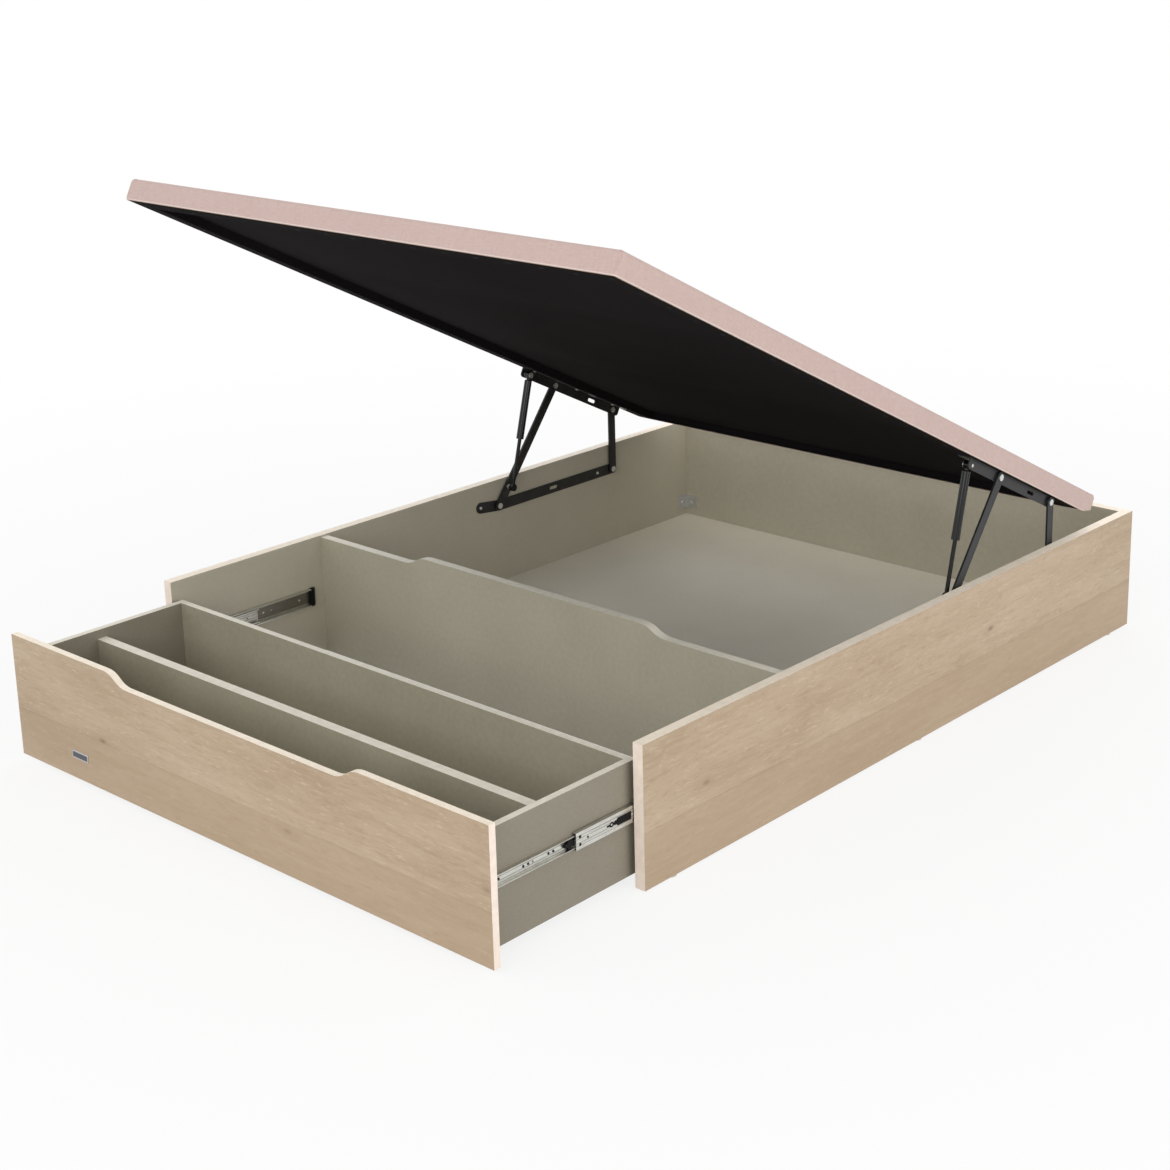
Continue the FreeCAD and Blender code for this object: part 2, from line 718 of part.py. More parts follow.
keep(cutAway("drawerFront", body, [bottomBlank("frontGroove")]), "drawer_front")
keep(bottomBlank("drawerBottom"), "drawer_bottom")
for sideName, side in sides.items():
    corner = (min(side * drawerHalf, side * drawerInner), frontBack, size("drawerLow"))
    blank = board("drawerSideBlank" + sideName, "Sizes.boardThick", drawerLong, drawerHigh, corner)
    groove = bottomBlank("sideGroove" + sideName)
    keep(cutAway("drawerSide" + sideName, blank, [groove]), "drawer_side_" + sideName)
innerWidth = "Sizes.bedWidth - 2 * (Sizes.panelThick + Sizes.slideGap + Sizes.boardThick)"
blank = board("drawerBackBlank", innerWidth, "Sizes.boardThick", drawerHigh,
              (-drawerInner, drawerTail - size("boardThick"), size("drawerLow")))
keep(cutAway("drawerBack", blank, [bottomBlank("backGroove")]), "drawer_back")
keep(board("drawerDivider", innerWidth, "Sizes.dividerThick",
           drawerHigh + " - Sizes.dividerDrop - Sizes.bottomLift - Sizes.bottomThick",
           (-drawerInner, frontBack + size("dividerPlace"), bottomTop)), "drawer_divider")

# Lid, in its own frame: origin at the middle of its lower head edge, -Y to the foot
lidPlace = FreeCAD.Placement(Vector(0, *openEdge), FreeCAD.Rotation(Vector(1, 0, 0), -size("lidAngle")))
lidHalf = halfWidth - size("lidSideInset")
lidWide = "(Sizes.bedWidth - 2 * Sizes.lidSideInset)"
lidLong = "(Sizes.bedLength - Sizes.lidClosedBack + Sizes.lidOverhang)"
lidLength = size("bedLength") - size("lidClosedBack") + size("lidOverhang")
timberOut = lidHalf - size("coverThick")
timberIn = timberOut - size("timberWidth")
boardWide = lidWide + " - 2 * Sizes.coverThick"
boardLong = lidLong + " - 2 * Sizes.coverThick"
timberHeight = "Sizes.lidThick - Sizes.coverThick - Sizes.lidBoardThick"
timberTop = size("lidThick") - size("coverThick") - size("lidBoardThick")
lidEnds = (-size("coverThick"), size("coverThick") - lidLength)


def headBevel(name, inset):
    # Wedge along the lid's lower head edge, moved into the lid by the inset
    run, rise = size("lidBevelRun"), size("lidBevelRise")
    aside, above = (inset * part / math.hypot(run, rise) for part in (-rise, run))
    corners = [(-2 * run, -rise), (run, -rise), (run, 2 * rise)]
    outline = [(y + aside, z + above) for y, z in corners]
    wedge = padded(name, "YZ_Plane", outline, lidWide + " + 2 * Sizes.overrun")
    wedge.Placement.Base = Vector(-lidHalf - size("overrun"), 0, 0)
    return wedge


def timberBevel(name):
    wedge = headBevel(name, size("coverThick"))
    wedge.Placement = lidPlace.multiply(wedge.Placement)
    return wedge


def lidBoard(name, length, width, height, corner):
    item = board(name, length, width, height, corner)
    item.Placement = lidPlace.multiply(item.Placement)
    return item


for sideName, side in sides.items():
    blank = lidBoard("lidTimberBlank" + sideName, "Sizes.timberWidth", boardLong,
                     timberHeight, (min(side * timberOut, side * timberIn), lidEnds[1], 0))
    drills = [timberBevel("timberBevel" + sideName)]
    for i, along in enumerate(upperScrews):
        pilot = rod(f"lidPilot{sideName}{i}", screwHoleText, "Sizes.screwReach",
                    (inward(side, upperScrewLine), -along, 0), (0, 0, 1))
        pilot.Placement = lidPlace.multiply(pilot.Placement)
        drills.append(pilot)
    keep(cutAway("lidTimber" + sideName, blank, drills), "lid_timber_" + sideName)
crossWidth = lidWide + " - 2 * (Sizes.coverThick + Sizes.timberWidth)"
blank = lidBoard("lidTimberHeadBlank", crossWidth, "Sizes.timberWidth", timberHeight,
                 (-timberIn, lidEnds[0] - size("timberWidth"), 0))
keep(cutAway("lidTimberHead", blank, [timberBevel("timberBevelHead")]), "lid_timber_head")
keep(lidBoard("lidTimberFoot", crossWidth, "Sizes.timberWidth", timberHeight, (-timberIn, lidEnds[1], 0)),
     "lid_timber_foot")
keep(lidBoard("lidDustCover", crossWidth, lidLong + " - 2 * (Sizes.coverThick + Sizes.timberWidth)",
              "Sizes.dustThick", (-timberIn, lidEnds[1] + size("timberWidth"), size("recessDepth"))),
     "lid_dust_cover")

# Cross battens hidden between dust cover and board, one of them over the partition when closed
battenLow = size("recessDepth") + size("dustThick")
overPartition = headY - size("lidClosedBack") - partitionY - size("partitionThick") / 2
lidBattenPlaces = [overPartition, overPartition / 2]
battens = []
for i, along in enumerate(lidBattenPlaces):
    battens.append(lidBoard(f"lidBatten{i}", crossWidth, "Sizes.lidBattenWidth",
                            timberHeight + " - Sizes.recessDepth - Sizes.dustThick",
                            (-timberIn, -along - size("lidBattenWidth") / 2, battenLow)))
group = doc.addObject("Part::Compound", "lidBattens")
group.Links = battens
keep(group, "lid_battens")
keep(lidBoard("lidBoard", boardWide, boardLong, "Sizes.lidBoardThick", (-timberOut, lidEnds[1], timberTop)),
     "lid_board")

# Upholstered cover over the top and round the edges of the lid
outer = board("coverOuter", lidWide, lidLong, "Sizes.lidThick", (-lidHalf, -lidLength, 0))
doc.recompute()
rounded = doc.addObject("Part::Fillet", "coverRounded")
rounded.Base = outer
rounded.Edges = [(i, size("coverRound"), size("coverRound"))
                 for i, edge in enumerate(outer.Shape.Edges, start=1)
                 if edge.BoundBox.ZMax > size("lidThick") / 2]
inner = board("coverInner", boardWide, boardLong, "Sizes.lidThick - Sizes.coverThick + Sizes.overrun",
              (-timberOut, lidEnds[1], -size("overrun")))
bevelled = cutAway("coverBevelled", rounded, [headBevel("coverBevel", 0)])
core = cutAway("coverCore", inner, [headBevel("coreBevel", size("coverThick"))])
cover = cutAway("lidCover", bevelled, [core])
cover.Placement = lidPlace
keep(cover, "lid_cover")

# Upper rails: steel angles under the lid's timbers, drilled for the pivots
upperSlotShare = 0.42
for sideName, side in sides.items():
    drop, thick = size("upperRailDrop"), size("railThick")
    reach = upperNear + size("upperRailWidth")
    bend = [(upperNear, 0), (reach, 0), (reach, -thick), (upperFar, -thick),
            (upperFar, -drop), (upperNear, -drop)]
    body = doc.addObject("PartDesign::Body", "upperRail" + sideName)
    sketch = newSketch(body, "XZ_Plane", "upperRailSection" + sideName)
    drawOutline(sketch, [(inward(side, depth), level) for depth, level in bend])
    pad = body.newObject("PartDesign::Pad", "upperRailPad" + sideName)
    pad.Profile = sketch
    pad.setExpression("Length", "Sizes.strutPivot + Sizes.upperRailFront"
                      " - Sizes.rearPivot + Sizes.upperRailRear")
    doc.recompute()
    corners = [f"Edge{i}" for i, edge in enumerate(pad.Shape.Edges, start=1)
               if edge.BoundBox.YLength < thick / 2 and abs(edge.BoundBox.ZMin + drop) < thick / 2
               and edge.BoundBox.ZLength < thick / 2]
    fillet = body.newObject("PartDesign::Fillet", "upperRailRound" + sideName)
    fillet.Base = (pad, corners)
    fillet.setExpression("Radius", "Sizes.upperRailRound")
    holes = newSketch(body, "YZ_Plane", "upperRailHoles" + sideName)
    for along in (size("rearPivot"), size("frontPivot")):
        drawHole(holes, (upperStart - along, -size("pivotDrop")), pinHole, pinHoleText)
    drawHole(holes, (upperStart - size("strutPivot"), -size("strutDrop")), studHole, studHoleText)
    slotStart = -upperSlotShare * (size("frontPivot") - size("rearPivot")) - size("upperRailRear")
    slotOutline = stadium(slotStart, slotStart + size("railSlotLength"), slotRadius)
    drawOutline(holes, moved(slotOutline, lambda point: (point[0], point[1] - size("pivotDrop"))))
    pocket = body.newObject("PartDesign::Pocket", "upperRailHoleCut" + sideName)
    pocket.Profile = holes
    pocket.Midplane = True
    pocket.Type = "ThroughAll"
    screwSketch = newSketch(body, "XY_Plane", "upperRailScrewHoles" + sideName)
    for along in upperScrews:
        drawHole(screwSketch, (inward(side, upperScrewLine), upperStart - along), screwHole, screwHoleText)
    screwCut = body.newObject("PartDesign::Pocket", "upperRailScrewCut" + sideName)
    screwCut.Profile = screwSketch
    screwCut.Midplane = True
    screwCut.Type = "ThroughAll"
    doc.recompute()
    body.Placement = lidPlace.multiply(FreeCAD.Placement(Vector(0, -upperStart, 0), FreeCAD.Rotation()))
    keep(body, "upper_rail_" + sideName)

upperScrewSolids = []
upperPins = []
rivetStages = [(upperNear, 0), (upperFar, size("pinRadius")),
               (upperFar + size("pinHeadHeight"), size("pinHeadRadius"))]
linkPinStart = armNear - size("sideClear")
linkPinStages = [(linkPinStart - size("pinHeadHeight"), 0), (linkPinStart, size("pinHeadRadius")),
                 (headStart, size("pinRadius")), (upperNear, size("pinHeadRadius")),
                 (upperFar, size("pinRadius")), (upperFar + size("pinHeadHeight"), size("pinHeadRadius"))]
studHead = strutFar + size("sideClear")
strutPinStages = [(upperNear, 0), (upperFar, size("strutPinRadius")),
                  (strutNear - size("sideClear"), size("pinHeadRadius")), (studHead, size("strutPinRadius")),
                  (studHead + size("pinHeadHeight"), size("pinHeadRadius"))]
for side in sides.values():
    for along in upperScrews:
        place = lidPlace.multVec(Vector(inward(side, upperScrewLine), -along, 0))
        screw = turned(stepped(screwStages), (0, 0, 0), 1)
        screw.rotate(Vector(0, 0, 0), Vector(0, 1, 0), 90)
        screw.rotate(Vector(0, 0, 0), Vector(1, 0, 0), -size("lidAngle"))
        screw.translate(place)
        upperScrewSolids.append(screw)
    upperPins.append(turned(stepped(rivetStages), (side * innerHalf, *frontTop), -side))
    upperPins.append(turned(stepped(linkPinStages), (side * innerHalf, *rearTop), -side))
    upperPins.append(turned(stepped(strutPinStages), (side * innerHalf, *strutTop), -side))
copies("upper_rail_screws", upperScrewSolids)
copies("upper_pivot_pins", upperPins)

# Long lift arms, with the rivet in each tip and the stud that the strut stands on
tipRivets = []
studs = []
tipStages = [(linkPinStart - size("pinHeadHeight"), 0), (armNear, size("pinHeadRadius")),
             (armFar + size("sideClear"), size("pinRadius"))]
studStages = [(armNear, 0), (armFar, size("strutPinRadius")),
              (strutNear - size("sideClear") - size("collarThick"), size("pinHeadRadius"))]
for sideName, side in sides.items():
    holes = [((0, 0), pinHole, pinHoleText), ((armLength, 0), pinHole, pinHoleText),
             ((size("strutFoot"), 0), studHole, studHoleText)]
    arm = padded("liftArm" + sideName, "YZ_Plane", stadium(0, armLength, size("armWidth") / 2),
                 "Sizes.armThick", holes)
    arm.Placement = FreeCAD.Placement(Vector(slab(side, armNear, armFar), *frontBase),
                                      FreeCAD.Rotation(Vector(1, 0, 0), armAngle))
    keep(arm, "lift_arm_" + sideName)
    tipRivets.append(turned(stepped(tipStages), (side * innerHalf, *frontTop), -side))
    studs.append(turned(stepped(studStages), (side * innerHalf, *strutBase), -side))
    holes = [((0, 0), pinHole, pinHoleText), ((linkLength, 0), pinHole, pinHoleText)]
    link = padded("rearLink" + sideName, "YZ_Plane", stadium(0, linkLength, size("linkWidth") / 2),
                  "Sizes.armThick", holes)
    link.Placement = FreeCAD.Placement(Vector(slab(side, armNear, armFar), *rearBase),
                                       FreeCAD.Rotation(Vector(1, 0, 0), linkAngle))
    keep(link, "rear_link_" + sideName)
copies("arm_tip_rivets", tipRivets)
copies("strut_studs", studs)

# Gas struts: a tube that turns on the upper rail's stud and a rod with its piston inside it.
# Each is drawn along +Y from the upper stud.
tubeStart = size("strutEyeRadius") + size("neckLength")
tubeEnd = tubeStart + size("tubeLength")
tubeIn = size("tubeRadius") - size("tubeWall")
pistonRadius = tubeIn - size("pistonClear")
rodHole = size("rodRadius") + size("rodFit")
pistonStart = tubeEnd - size("tubeCap") - size("overrun") - size("pistonLength")
for sideName, side in sides.items():
    tilt = FreeCAD.Rotation(Vector(1, 0, 0), strutAngle)
    place = FreeCAD.Placement(Vector(inward(side, strutLine), *strutTop), tilt)
    tube = doc.addObject("PartDesign::Body", "strutTube" + sideName)
    section = newSketch(tube, "XY_Plane", "strutTubeSection" + sideName)
    neckStart = tubeStart - size("neckLength") / 2
    drawOutline(section, [(0, 0), (size("rodRadius"), 0), (size("rodRadius"), neckStart),
                          (size("tubeRadius"), tubeStart), (size("tubeRadius"), tubeEnd), (rodHole, tubeEnd),
                          (rodHole, tubeEnd - size("tubeCap")), (tubeIn, tubeEnd - size("tubeCap")),
                          (tubeIn, tubeStart + size("tubeWall")), (0, tubeStart + size("tubeWall"))])
    turn = tube.newObject("PartDesign::Revolution", "strutTubeTurn" + sideName)
    turn.Profile = section
    turn.ReferenceAxis = (section, ["V_Axis"])
    doc.recompute()
    eye = newSketch(tube, "YZ_Plane", "strutTubeEye" + sideName)
    drawHole(eye, (0, 0), size("strutEyeRadius"), "Sizes.strutEyeRadius")
    eyePad = tube.newObject("PartDesign::Pad", "strutTubeEyePad" + sideName)
    eyePad.Profile = eye
    eyePad.Midplane = True
    eyePad.setExpression("Length", "Sizes.strutEyeWidth")
    doc.recompute()
    bore = newSketch(tube, "YZ_Plane", "strutTubeBore" + sideName)
    drawHole(bore, (0, 0), studHole, studHoleText)
    boreCut = tube.newObject("PartDesign::Pocket", "strutTubeBoreCut" + sideName)
    boreCut.Profile = bore
    boreCut.Midplane = True
    boreCut.Type = "ThroughAll"
    doc.recompute()
    tube.Placement = place
    keep(tube, "strut_tube_" + sideName)

    plunger = doc.addObject("PartDesign::Body", "strutRod" + sideName)
    section = newSketch(plunger, "XY_Plane", "strutRodSection" + sideName)
    drawOutline(section, [(0, pistonStart), (pistonRadius, pistonStart),
                          (pistonRadius, pistonStart + size("pistonLength")),
                          (size("rodRadius"), pistonStart + size("pistonLength")),
                          (size("rodRadius"), strutLength), (0, strutLength)])
    turn = plunger.newObject("PartDesign::Revolution", "strutRodTurn" + sideName)
    turn.Profile = section
    turn.ReferenceAxis = (section, ["V_Axis"])
    doc.recompute()
    eye = newSketch(plunger, "YZ_Plane", "strutRodEye" + sideName)
    drawHole(eye, (strutLength, 0), size("strutEyeRadius"), "Sizes.strutEyeRadius")
    eyePad = plunger.newObject("PartDesign::Pad", "strutRodEyePad" + sideName)
    eyePad.Profile = eye
    eyePad.Midplane = True
    eyePad.setExpression("Length", "Sizes.strutEyeWidth")
    doc.recompute()
    plunger.Placement = place
    keep(plunger, "strut_rod_" + sideName)

doc.recompute()

# Every object has to be sound before anything is written
for item in doc.Objects:
    if "Invalid" in item.State or "Error" in item.State:
        raise RuntimeError(f"{item.Label} failed: {item.State}")
for item in nodes:
    if item.Shape.isNull() or not item.Shape.isValid() or item.Shape.Volume <= 0:
        raise RuntimeError(f"{item.Label} has no sound shape")

os.makedirs("parts", exist_ok=True)
for item in nodes:
    item.Shape.exportStep(f"parts/{item.Label}.step")

print(f"{len(nodes)} pieces written")
print(f"arm {armLength:.1f}, link {linkLength:.1f}, strut {strutLength:.1f}")
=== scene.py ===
import math

import bmesh
import bpy
from mathutils import Matrix, Vector
from mathutils.bvhtree import BVHTree


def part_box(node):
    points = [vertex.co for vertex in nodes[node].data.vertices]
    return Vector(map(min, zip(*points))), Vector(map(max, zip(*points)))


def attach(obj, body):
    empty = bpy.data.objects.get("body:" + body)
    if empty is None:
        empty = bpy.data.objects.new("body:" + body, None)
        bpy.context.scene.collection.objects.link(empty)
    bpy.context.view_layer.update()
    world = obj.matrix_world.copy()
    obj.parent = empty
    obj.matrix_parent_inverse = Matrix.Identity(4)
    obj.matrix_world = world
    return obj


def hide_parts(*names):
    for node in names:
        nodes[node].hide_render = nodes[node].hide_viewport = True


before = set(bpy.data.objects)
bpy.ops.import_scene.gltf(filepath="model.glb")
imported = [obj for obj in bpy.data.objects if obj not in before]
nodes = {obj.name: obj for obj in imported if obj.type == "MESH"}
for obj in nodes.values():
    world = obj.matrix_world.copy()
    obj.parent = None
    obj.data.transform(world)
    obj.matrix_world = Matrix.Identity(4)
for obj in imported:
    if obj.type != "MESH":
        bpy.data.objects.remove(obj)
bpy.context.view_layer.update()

scene = bpy.context.scene
print("frame loaded:", len(nodes), "pieces")

# lid at rest: lower head edge and tilt, everything on the lid is drawn flat and then moved here
lid = {"headY": 0.9625, "headZ": 0.341, "tilt": 26.8, "half": 0.7325, "length": 1.940, "thick": 0.050,
       "bevelRun": 0.045, "bevelRise": 0.012, "timber": 0.050, "wall": 0.004, "recess": 0.020}
lidPlace = (Matrix.Translation((0, lid["headY"], lid["headZ"]))
            @ Matrix.Rotation(-math.radians(lid["tilt"]), 4, "X"))


# node helpers

def put(tree, kind, inputs=None, **settings):
    node = tree.nodes.new(kind)
    for key, value in settings.items():
        setattr(node, key, value)
    for key, value in (inputs or {}).items():
        if isinstance(value, bpy.types.NodeSocket):
            tree.links.new(value, node.inputs[key])
        else:
            node.inputs[key].default_value = value
    return node


def tint(red, green, blue):
    # screen colour 0..255 as the linear colour a shader takes
    def linear(c):
        c /= 255
        return c / 12.92 if c <= 0.04045 else ((c + 0.055) / 1.055) ** 2.4
    return (linear(red), linear(green), linear(blue), 1)


def newFinish(name, **sockets):
    material = bpy.data.materials.new(name)
    material.use_nodes = True
    shader = material.node_tree.nodes["Principled BSDF"]
    for key, value in sockets.items():
        shader.inputs[key.replace("_", " ")].default_value = value
    return material, material.node_tree, shader


def coords(tree, output="Object"):
    return put(tree, "ShaderNodeTexCoord").outputs[output]


def scaled(tree, vector, scale, turn=(0, 0, 0), move=(0, 0, 0)):
    return put(tree, "ShaderNodeMapping",
               {"Vector": vector, "Scale": scale, "Rotation": turn, "Location": move}).outputs[0]


def cloud(tree, vector, scale=1, detail=4, rough=0.5, bend=0):
    return put(tree, "ShaderNodeTexNoise", {"Vector": vector, "Scale": scale, "Detail": detail,
                                            "Roughness": rough, "Distortion": bend}).outputs["Fac"]


def span(tree, value, low, high, start=0, end=1):
    return put(tree, "ShaderNodeMapRange", {"Value": value, "From Min": low, "From Max": high,
                                            "To Min": start, "To Max": end}).outputs[0]


def sums(tree, operation, first, second=0.0, third=0.0):
    return put(tree, "ShaderNodeMath", {0: first, 1: second, 2: third}, operation=operation).outputs[0]


def weighed(tree, *shares):
    # sum of values, each times its weight
    total = None
    for value, weight in shares:
        share = sums(tree, "MULTIPLY", value, weight)
        total = share if total is None else sums(tree, "ADD", total, share)
    return total


def mixed(tree, factor, first, second):
    return put(tree, "ShaderNodeMix", {0: factor, 6: first, 7: second}, data_type="RGBA").outputs[2]


def apart(tree, value, level):
    # distance of a value from a level
    return sums(tree, "ABSOLUTE", sums(tree, "SUBTRACT", value, level))


def bumped(tree, shader, height, distance, strength=1.0):
    bump = put(tree, "ShaderNodeBump", {"Height": height, "Distance": distance, "Strength": strength})
    tree.links.new(bump.outputs[0], shader.inputs["Normal"])


def feed(tree, shader, **sockets):
    for key, value in sockets.items():
        tree.links.new(value, shader.inputs[key.replace("_", " ")])


def parts(tree, vector):
    return put(tree, "ShaderNodeSeparateXYZ", {0: vector}).outputs


def facing(tree, axis, sign):
    # 1 where the surface looks along the axis, in the piece's own frame
    along = parts(tree, coords(tree, "Normal"))["xyz".index(axis)]
    return sums(tree, "GREATER_THAN", sums(tree, "MULTIPLY", along, float(sign)), 0.7)


# oak decor panels: printed oak outside, greige inside, cream edge band round the rim, painted lighter on the
# up-facing edges as a painted highlight

# the top tone is a painted highlight: a lighter band colour used only on up-facing edges
oak = {"tone": (183, 161, 134), "dark": (157, 133, 105), "light": (203, 183, 158), "knot": (118, 93, 70),
       "lower": (170, 147, 120), "band": (246, 230, 216), "top": (255, 242, 223), "inside": (182, 176, 158),
       "seam": 0.126, "rough": 0.5}


def linen(tree, vector, tone, spread=9):
    # embossed laminate: two crossed sets of short threads over a slow mottle
    first = cloud(tree, scaled(tree, vector, (900, 90, 900)), 1, 2)
    second = cloud(tree, scaled(tree, vector, (90, 900, 90)), 1, 2)
    weave = sums(tree, "ADD", first, second)
    mottle = cloud(tree, vector, 6, 3)
    low = tint(*(c - spread for c in tone))
    high = tint(*(c + spread for c in tone))
    shade = weighed(tree, (weave, 0.35), (mottle, 0.3))
    return mixed(tree, span(tree, shade, 0.3, 0.7), low, high), weave


def bandColour(tree, vector, tone):
    speckle = cloud(tree, vector, 700, 3, 0.7)
    streak = cloud(tree, vector, 60, 3)
    shade = weighed(tree, (speckle, 0.6), (streak, 0.4))
    low = tint(*(c - 12 for c in tone))
    high = tint(*(c + 8 for c in tone))
    return mixed(tree, span(tree, shade, 0.35, 0.65), low, high)


def oakFinish(name, along, axis, sign):
    material, tree, shader = newFinish(name, Roughness=oak["rough"])
    here = coords(tree)
    place = parts(tree, here)

    def grain(run, across):
        return scaled(tree, here, (run, across, across) if along == "x" else (across, run, across))

    streaks = cloud(tree, grain(5, 60), 1, 6, 0.66, 0.6)
    fibres = cloud(tree, grain(30, 620), 1, 3, 0.6)
    flecks = cloud(tree, grain(34, 170), 1, 4, 0.7, 0.4)
    dashes = cloud(tree, grain(16, 110), 1, 3, 0.6)
    drift = cloud(tree, grain(2.4, 9), 1, 4)
    spots = put(tree, "ShaderNodeTexVoronoi", {"Vector": grain(5.2, 12), "Scale": 1.0, "Randomness": 1.0})
    chance = sums(tree, "GREATER_THAN", parts(tree, spots.outputs["Color"])["X"], 0.55)
    knots = sums(tree, "MULTIPLY", span(tree, spots.outputs["Distance"], 0.085, 0.02), chance)
    halo = sums(tree, "MULTIPLY", span(tree, spots.outputs["Distance"], 0.24, 0.05), chance)
    shade = weighed(tree, (streaks, 0.36), (fibres, 0.2), (drift, 0.44))
    wood = mixed(tree, span(tree, shade, 0.38, 0.64), tint(*oak["dark"]), tint(*oak["light"]))
    wood = mixed(tree, 0.5, wood, tint(*oak["tone"]))
    wood = mixed(tree, span(tree, dashes, 0.60, 0.72, 0, 0.4), wood, tint(*oak["dark"]))
    wood = mixed(tree, span(tree, flecks, 0.57, 0.68, 0, 0.5), wood, tint(*oak["dark"]))
    wood = mixed(tree, span(tree, flecks, 0.43, 0.33, 0, 0.6), wood, tint(*oak["light"]))
    wood = mixed(tree, sums(tree, "MULTIPLY", halo, 0.3), wood, tint(*oak["dark"]))
    wood = mixed(tree, sums(tree, "MULTIPLY", knots, 0.7), wood, tint(*oak["knot"]))
    # the print shows two boards: the lower one is a little darker, with a faint line between them
    wobble = sums(tree, "MULTIPLY", sums(tree, "SUBTRACT", cloud(tree, grain(3, 3), 1, 3), 0.5), 0.006)
    level = sums(tree, "ADD", place["Z"], wobble)
    board = span(tree, level, oak["seam"] + 0.001, oak["seam"] - 0.001)
    wood = mixed(tree, sums(tree, "MULTIPLY", board, 0.5), wood, tint(*oak["lower"]))
    line = span(tree, apart(tree, level, oak["seam"]), 0.003, 0.0005)
    wood = mixed(tree, sums(tree, "MULTIPLY", line, 0.14), wood, tint(*oak["knot"]))
    inner, weave = linen(tree, here, oak["inside"])
    # up-facing edges take the lighter top tone: a painted highlight on the top edges
    band = mixed(tree, facing(tree, "z", 1), bandColour(tree, here, oak["band"]),
                 bandColour(tree, here, oak["top"]))
    colour = mixed(tree, facing(tree, axis, sign), band, wood)
    colour = mixed(tree, facing(tree, axis, -sign), colour, inner)
    relief = sums(tree, "ADD", fibres, sums(tree, "MULTIPLY", flecks, 0.7))
    height = mixed(tree, facing(tree, axis, -sign), relief, weave)
    dull, sleek = oak["rough"] + 0.06, oak["rough"] - 0.05
    feed(tree, shader, Base_Color=colour, Roughness=span(tree, streaks, 0.3, 0.7, dull, sleek))
    bumped(tree, shader, height, 0.00012, 0.6)
    return material


# plain boards inside the box and the drawer

# the floor tone, on the storage floor and the drawer bottom, is far lighter than the other boards: partly the
# board's own lighter tone, partly painted light that makes up for the lid's shade over the storage floor
inside = {"tone": (174, 168, 149), "drawer": (159, 153, 134), "side": (136, 129, 114),
          "edge": (230, 224, 208), "floor": (232, 226, 210)}
timber = {"dark": (196, 160, 112), "light": (228, 200, 158)}


def boardFinish(name, axis, tone):
    material, tree, shader = newFinish(name, Roughness=0.55)
    here = coords(tree)
    face, weave = linen(tree, here, tone)
    edge = bandColour(tree, here, inside["edge"])
    normal = parts(tree, coords(tree, "Normal"))["xyz".index(axis)]
    onFace = sums(tree, "GREATER_THAN", sums(tree, "ABSOLUTE", normal), 0.7)
    feed(tree, shader, Base_Color=mixed(tree, onFace, edge, face),
         Roughness=span(tree, weave, 0.6, 1.4, 0.62, 0.5))
    bumped(tree, shader, weave, 0.00010, 0.6)
    return material


def timberFinish():
    material, tree, shader = newFinish("rawTimber", Roughness=0.7)
    here = coords(tree)
    rings = cloud(tree, scaled(tree, here, (3, 40, 40)), 1, 5, 0.6, 0.4)
    fibres = cloud(tree, scaled(tree, here, (30, 400, 400)), 1, 3)
    shade = span(tree, weighed(tree, (rings, 0.7), (fibres, 0.3)), 0.35, 0.65)
    feed(tree, shader, Base_Color=mixed(tree, shade, tint(*timber["dark"]), tint(*timber["light"])))
    bumped(tree, shader, fibres, 0.0002, 0.6)
    return material


# metals and plastic

zinc = {"light": (222, 222, 219), "dark": (196, 197, 196), "rough": 0.3}
slides = {"level": 0.161, "lines": (0.0042, 0.0098), "lineWide": 0.0011, "lineCore": 0.0004,
          "track": (0.0150, 0.0135), "dark": (186, 185, 178), "light": (222, 221, 214),
          "shadedGrease": (92, 82, 74), "groove": (104, 102, 96)}
badge = {"centre": (-0.521, 0.070), "wide": 0.058, "tall": 0.018, "thick": 0.0014, "round": 0.003,
         "rim": 0.0028, "step": 0.0005, "least": 0.0006,
         "pale": ((168, 168, 168), (204, 204, 202)), "field": ((74, 77, 84), (104, 107, 114))}


def paintedSteel(name, tone, lighter, rough, shine=0.4, peel=0.00005):
    material, tree, shader = newFinish(name, Specular_IOR_Level=shine)
    here = coords(tree)
    orange = cloud(tree, here, 900, 2)
    wearAndGrooveShade = cloud(tree, here, 26, 5, 0.7)
    feed(tree, shader, Base_Color=mixed(tree, span(tree, wearAndGrooveShade, 0.45, 0.75), tint(*tone), tint(*lighter)),
         Roughness=span(tree, wearAndGrooveShade, 0.3, 0.7, rough * 0.85, rough * 1.2))
    bumped(tree, shader, orange, peel, 0.5)
    return material


def zincSteel():
    material, tree, shader = newFinish("zincSteel", Metallic=0.75)
    here = coords(tree)
    grit = cloud(tree, here, 420, 3, 0.6)
    smear = cloud(tree, here, 14, 4, 0.6)
    brush = cloud(tree, scaled(tree, here, (600, 60, 600)), 1, 2)
    shade = weighed(tree, (grit, 0.3), (smear, 0.3), (brush, 0.4))
    colour = mixed(tree, span(tree, shade, 0.36, 0.64), tint(*zinc["dark"]), tint(*zinc["light"]))
    feed(tree, shader, Base_Color=colour,
         Roughness=span(tree, shade, 0.3, 0.7, zinc["rough"] + 0.06, zinc["rough"] - 0.04))
    bumped(tree, shader, brush, 0.00003, 0.4)
    return material


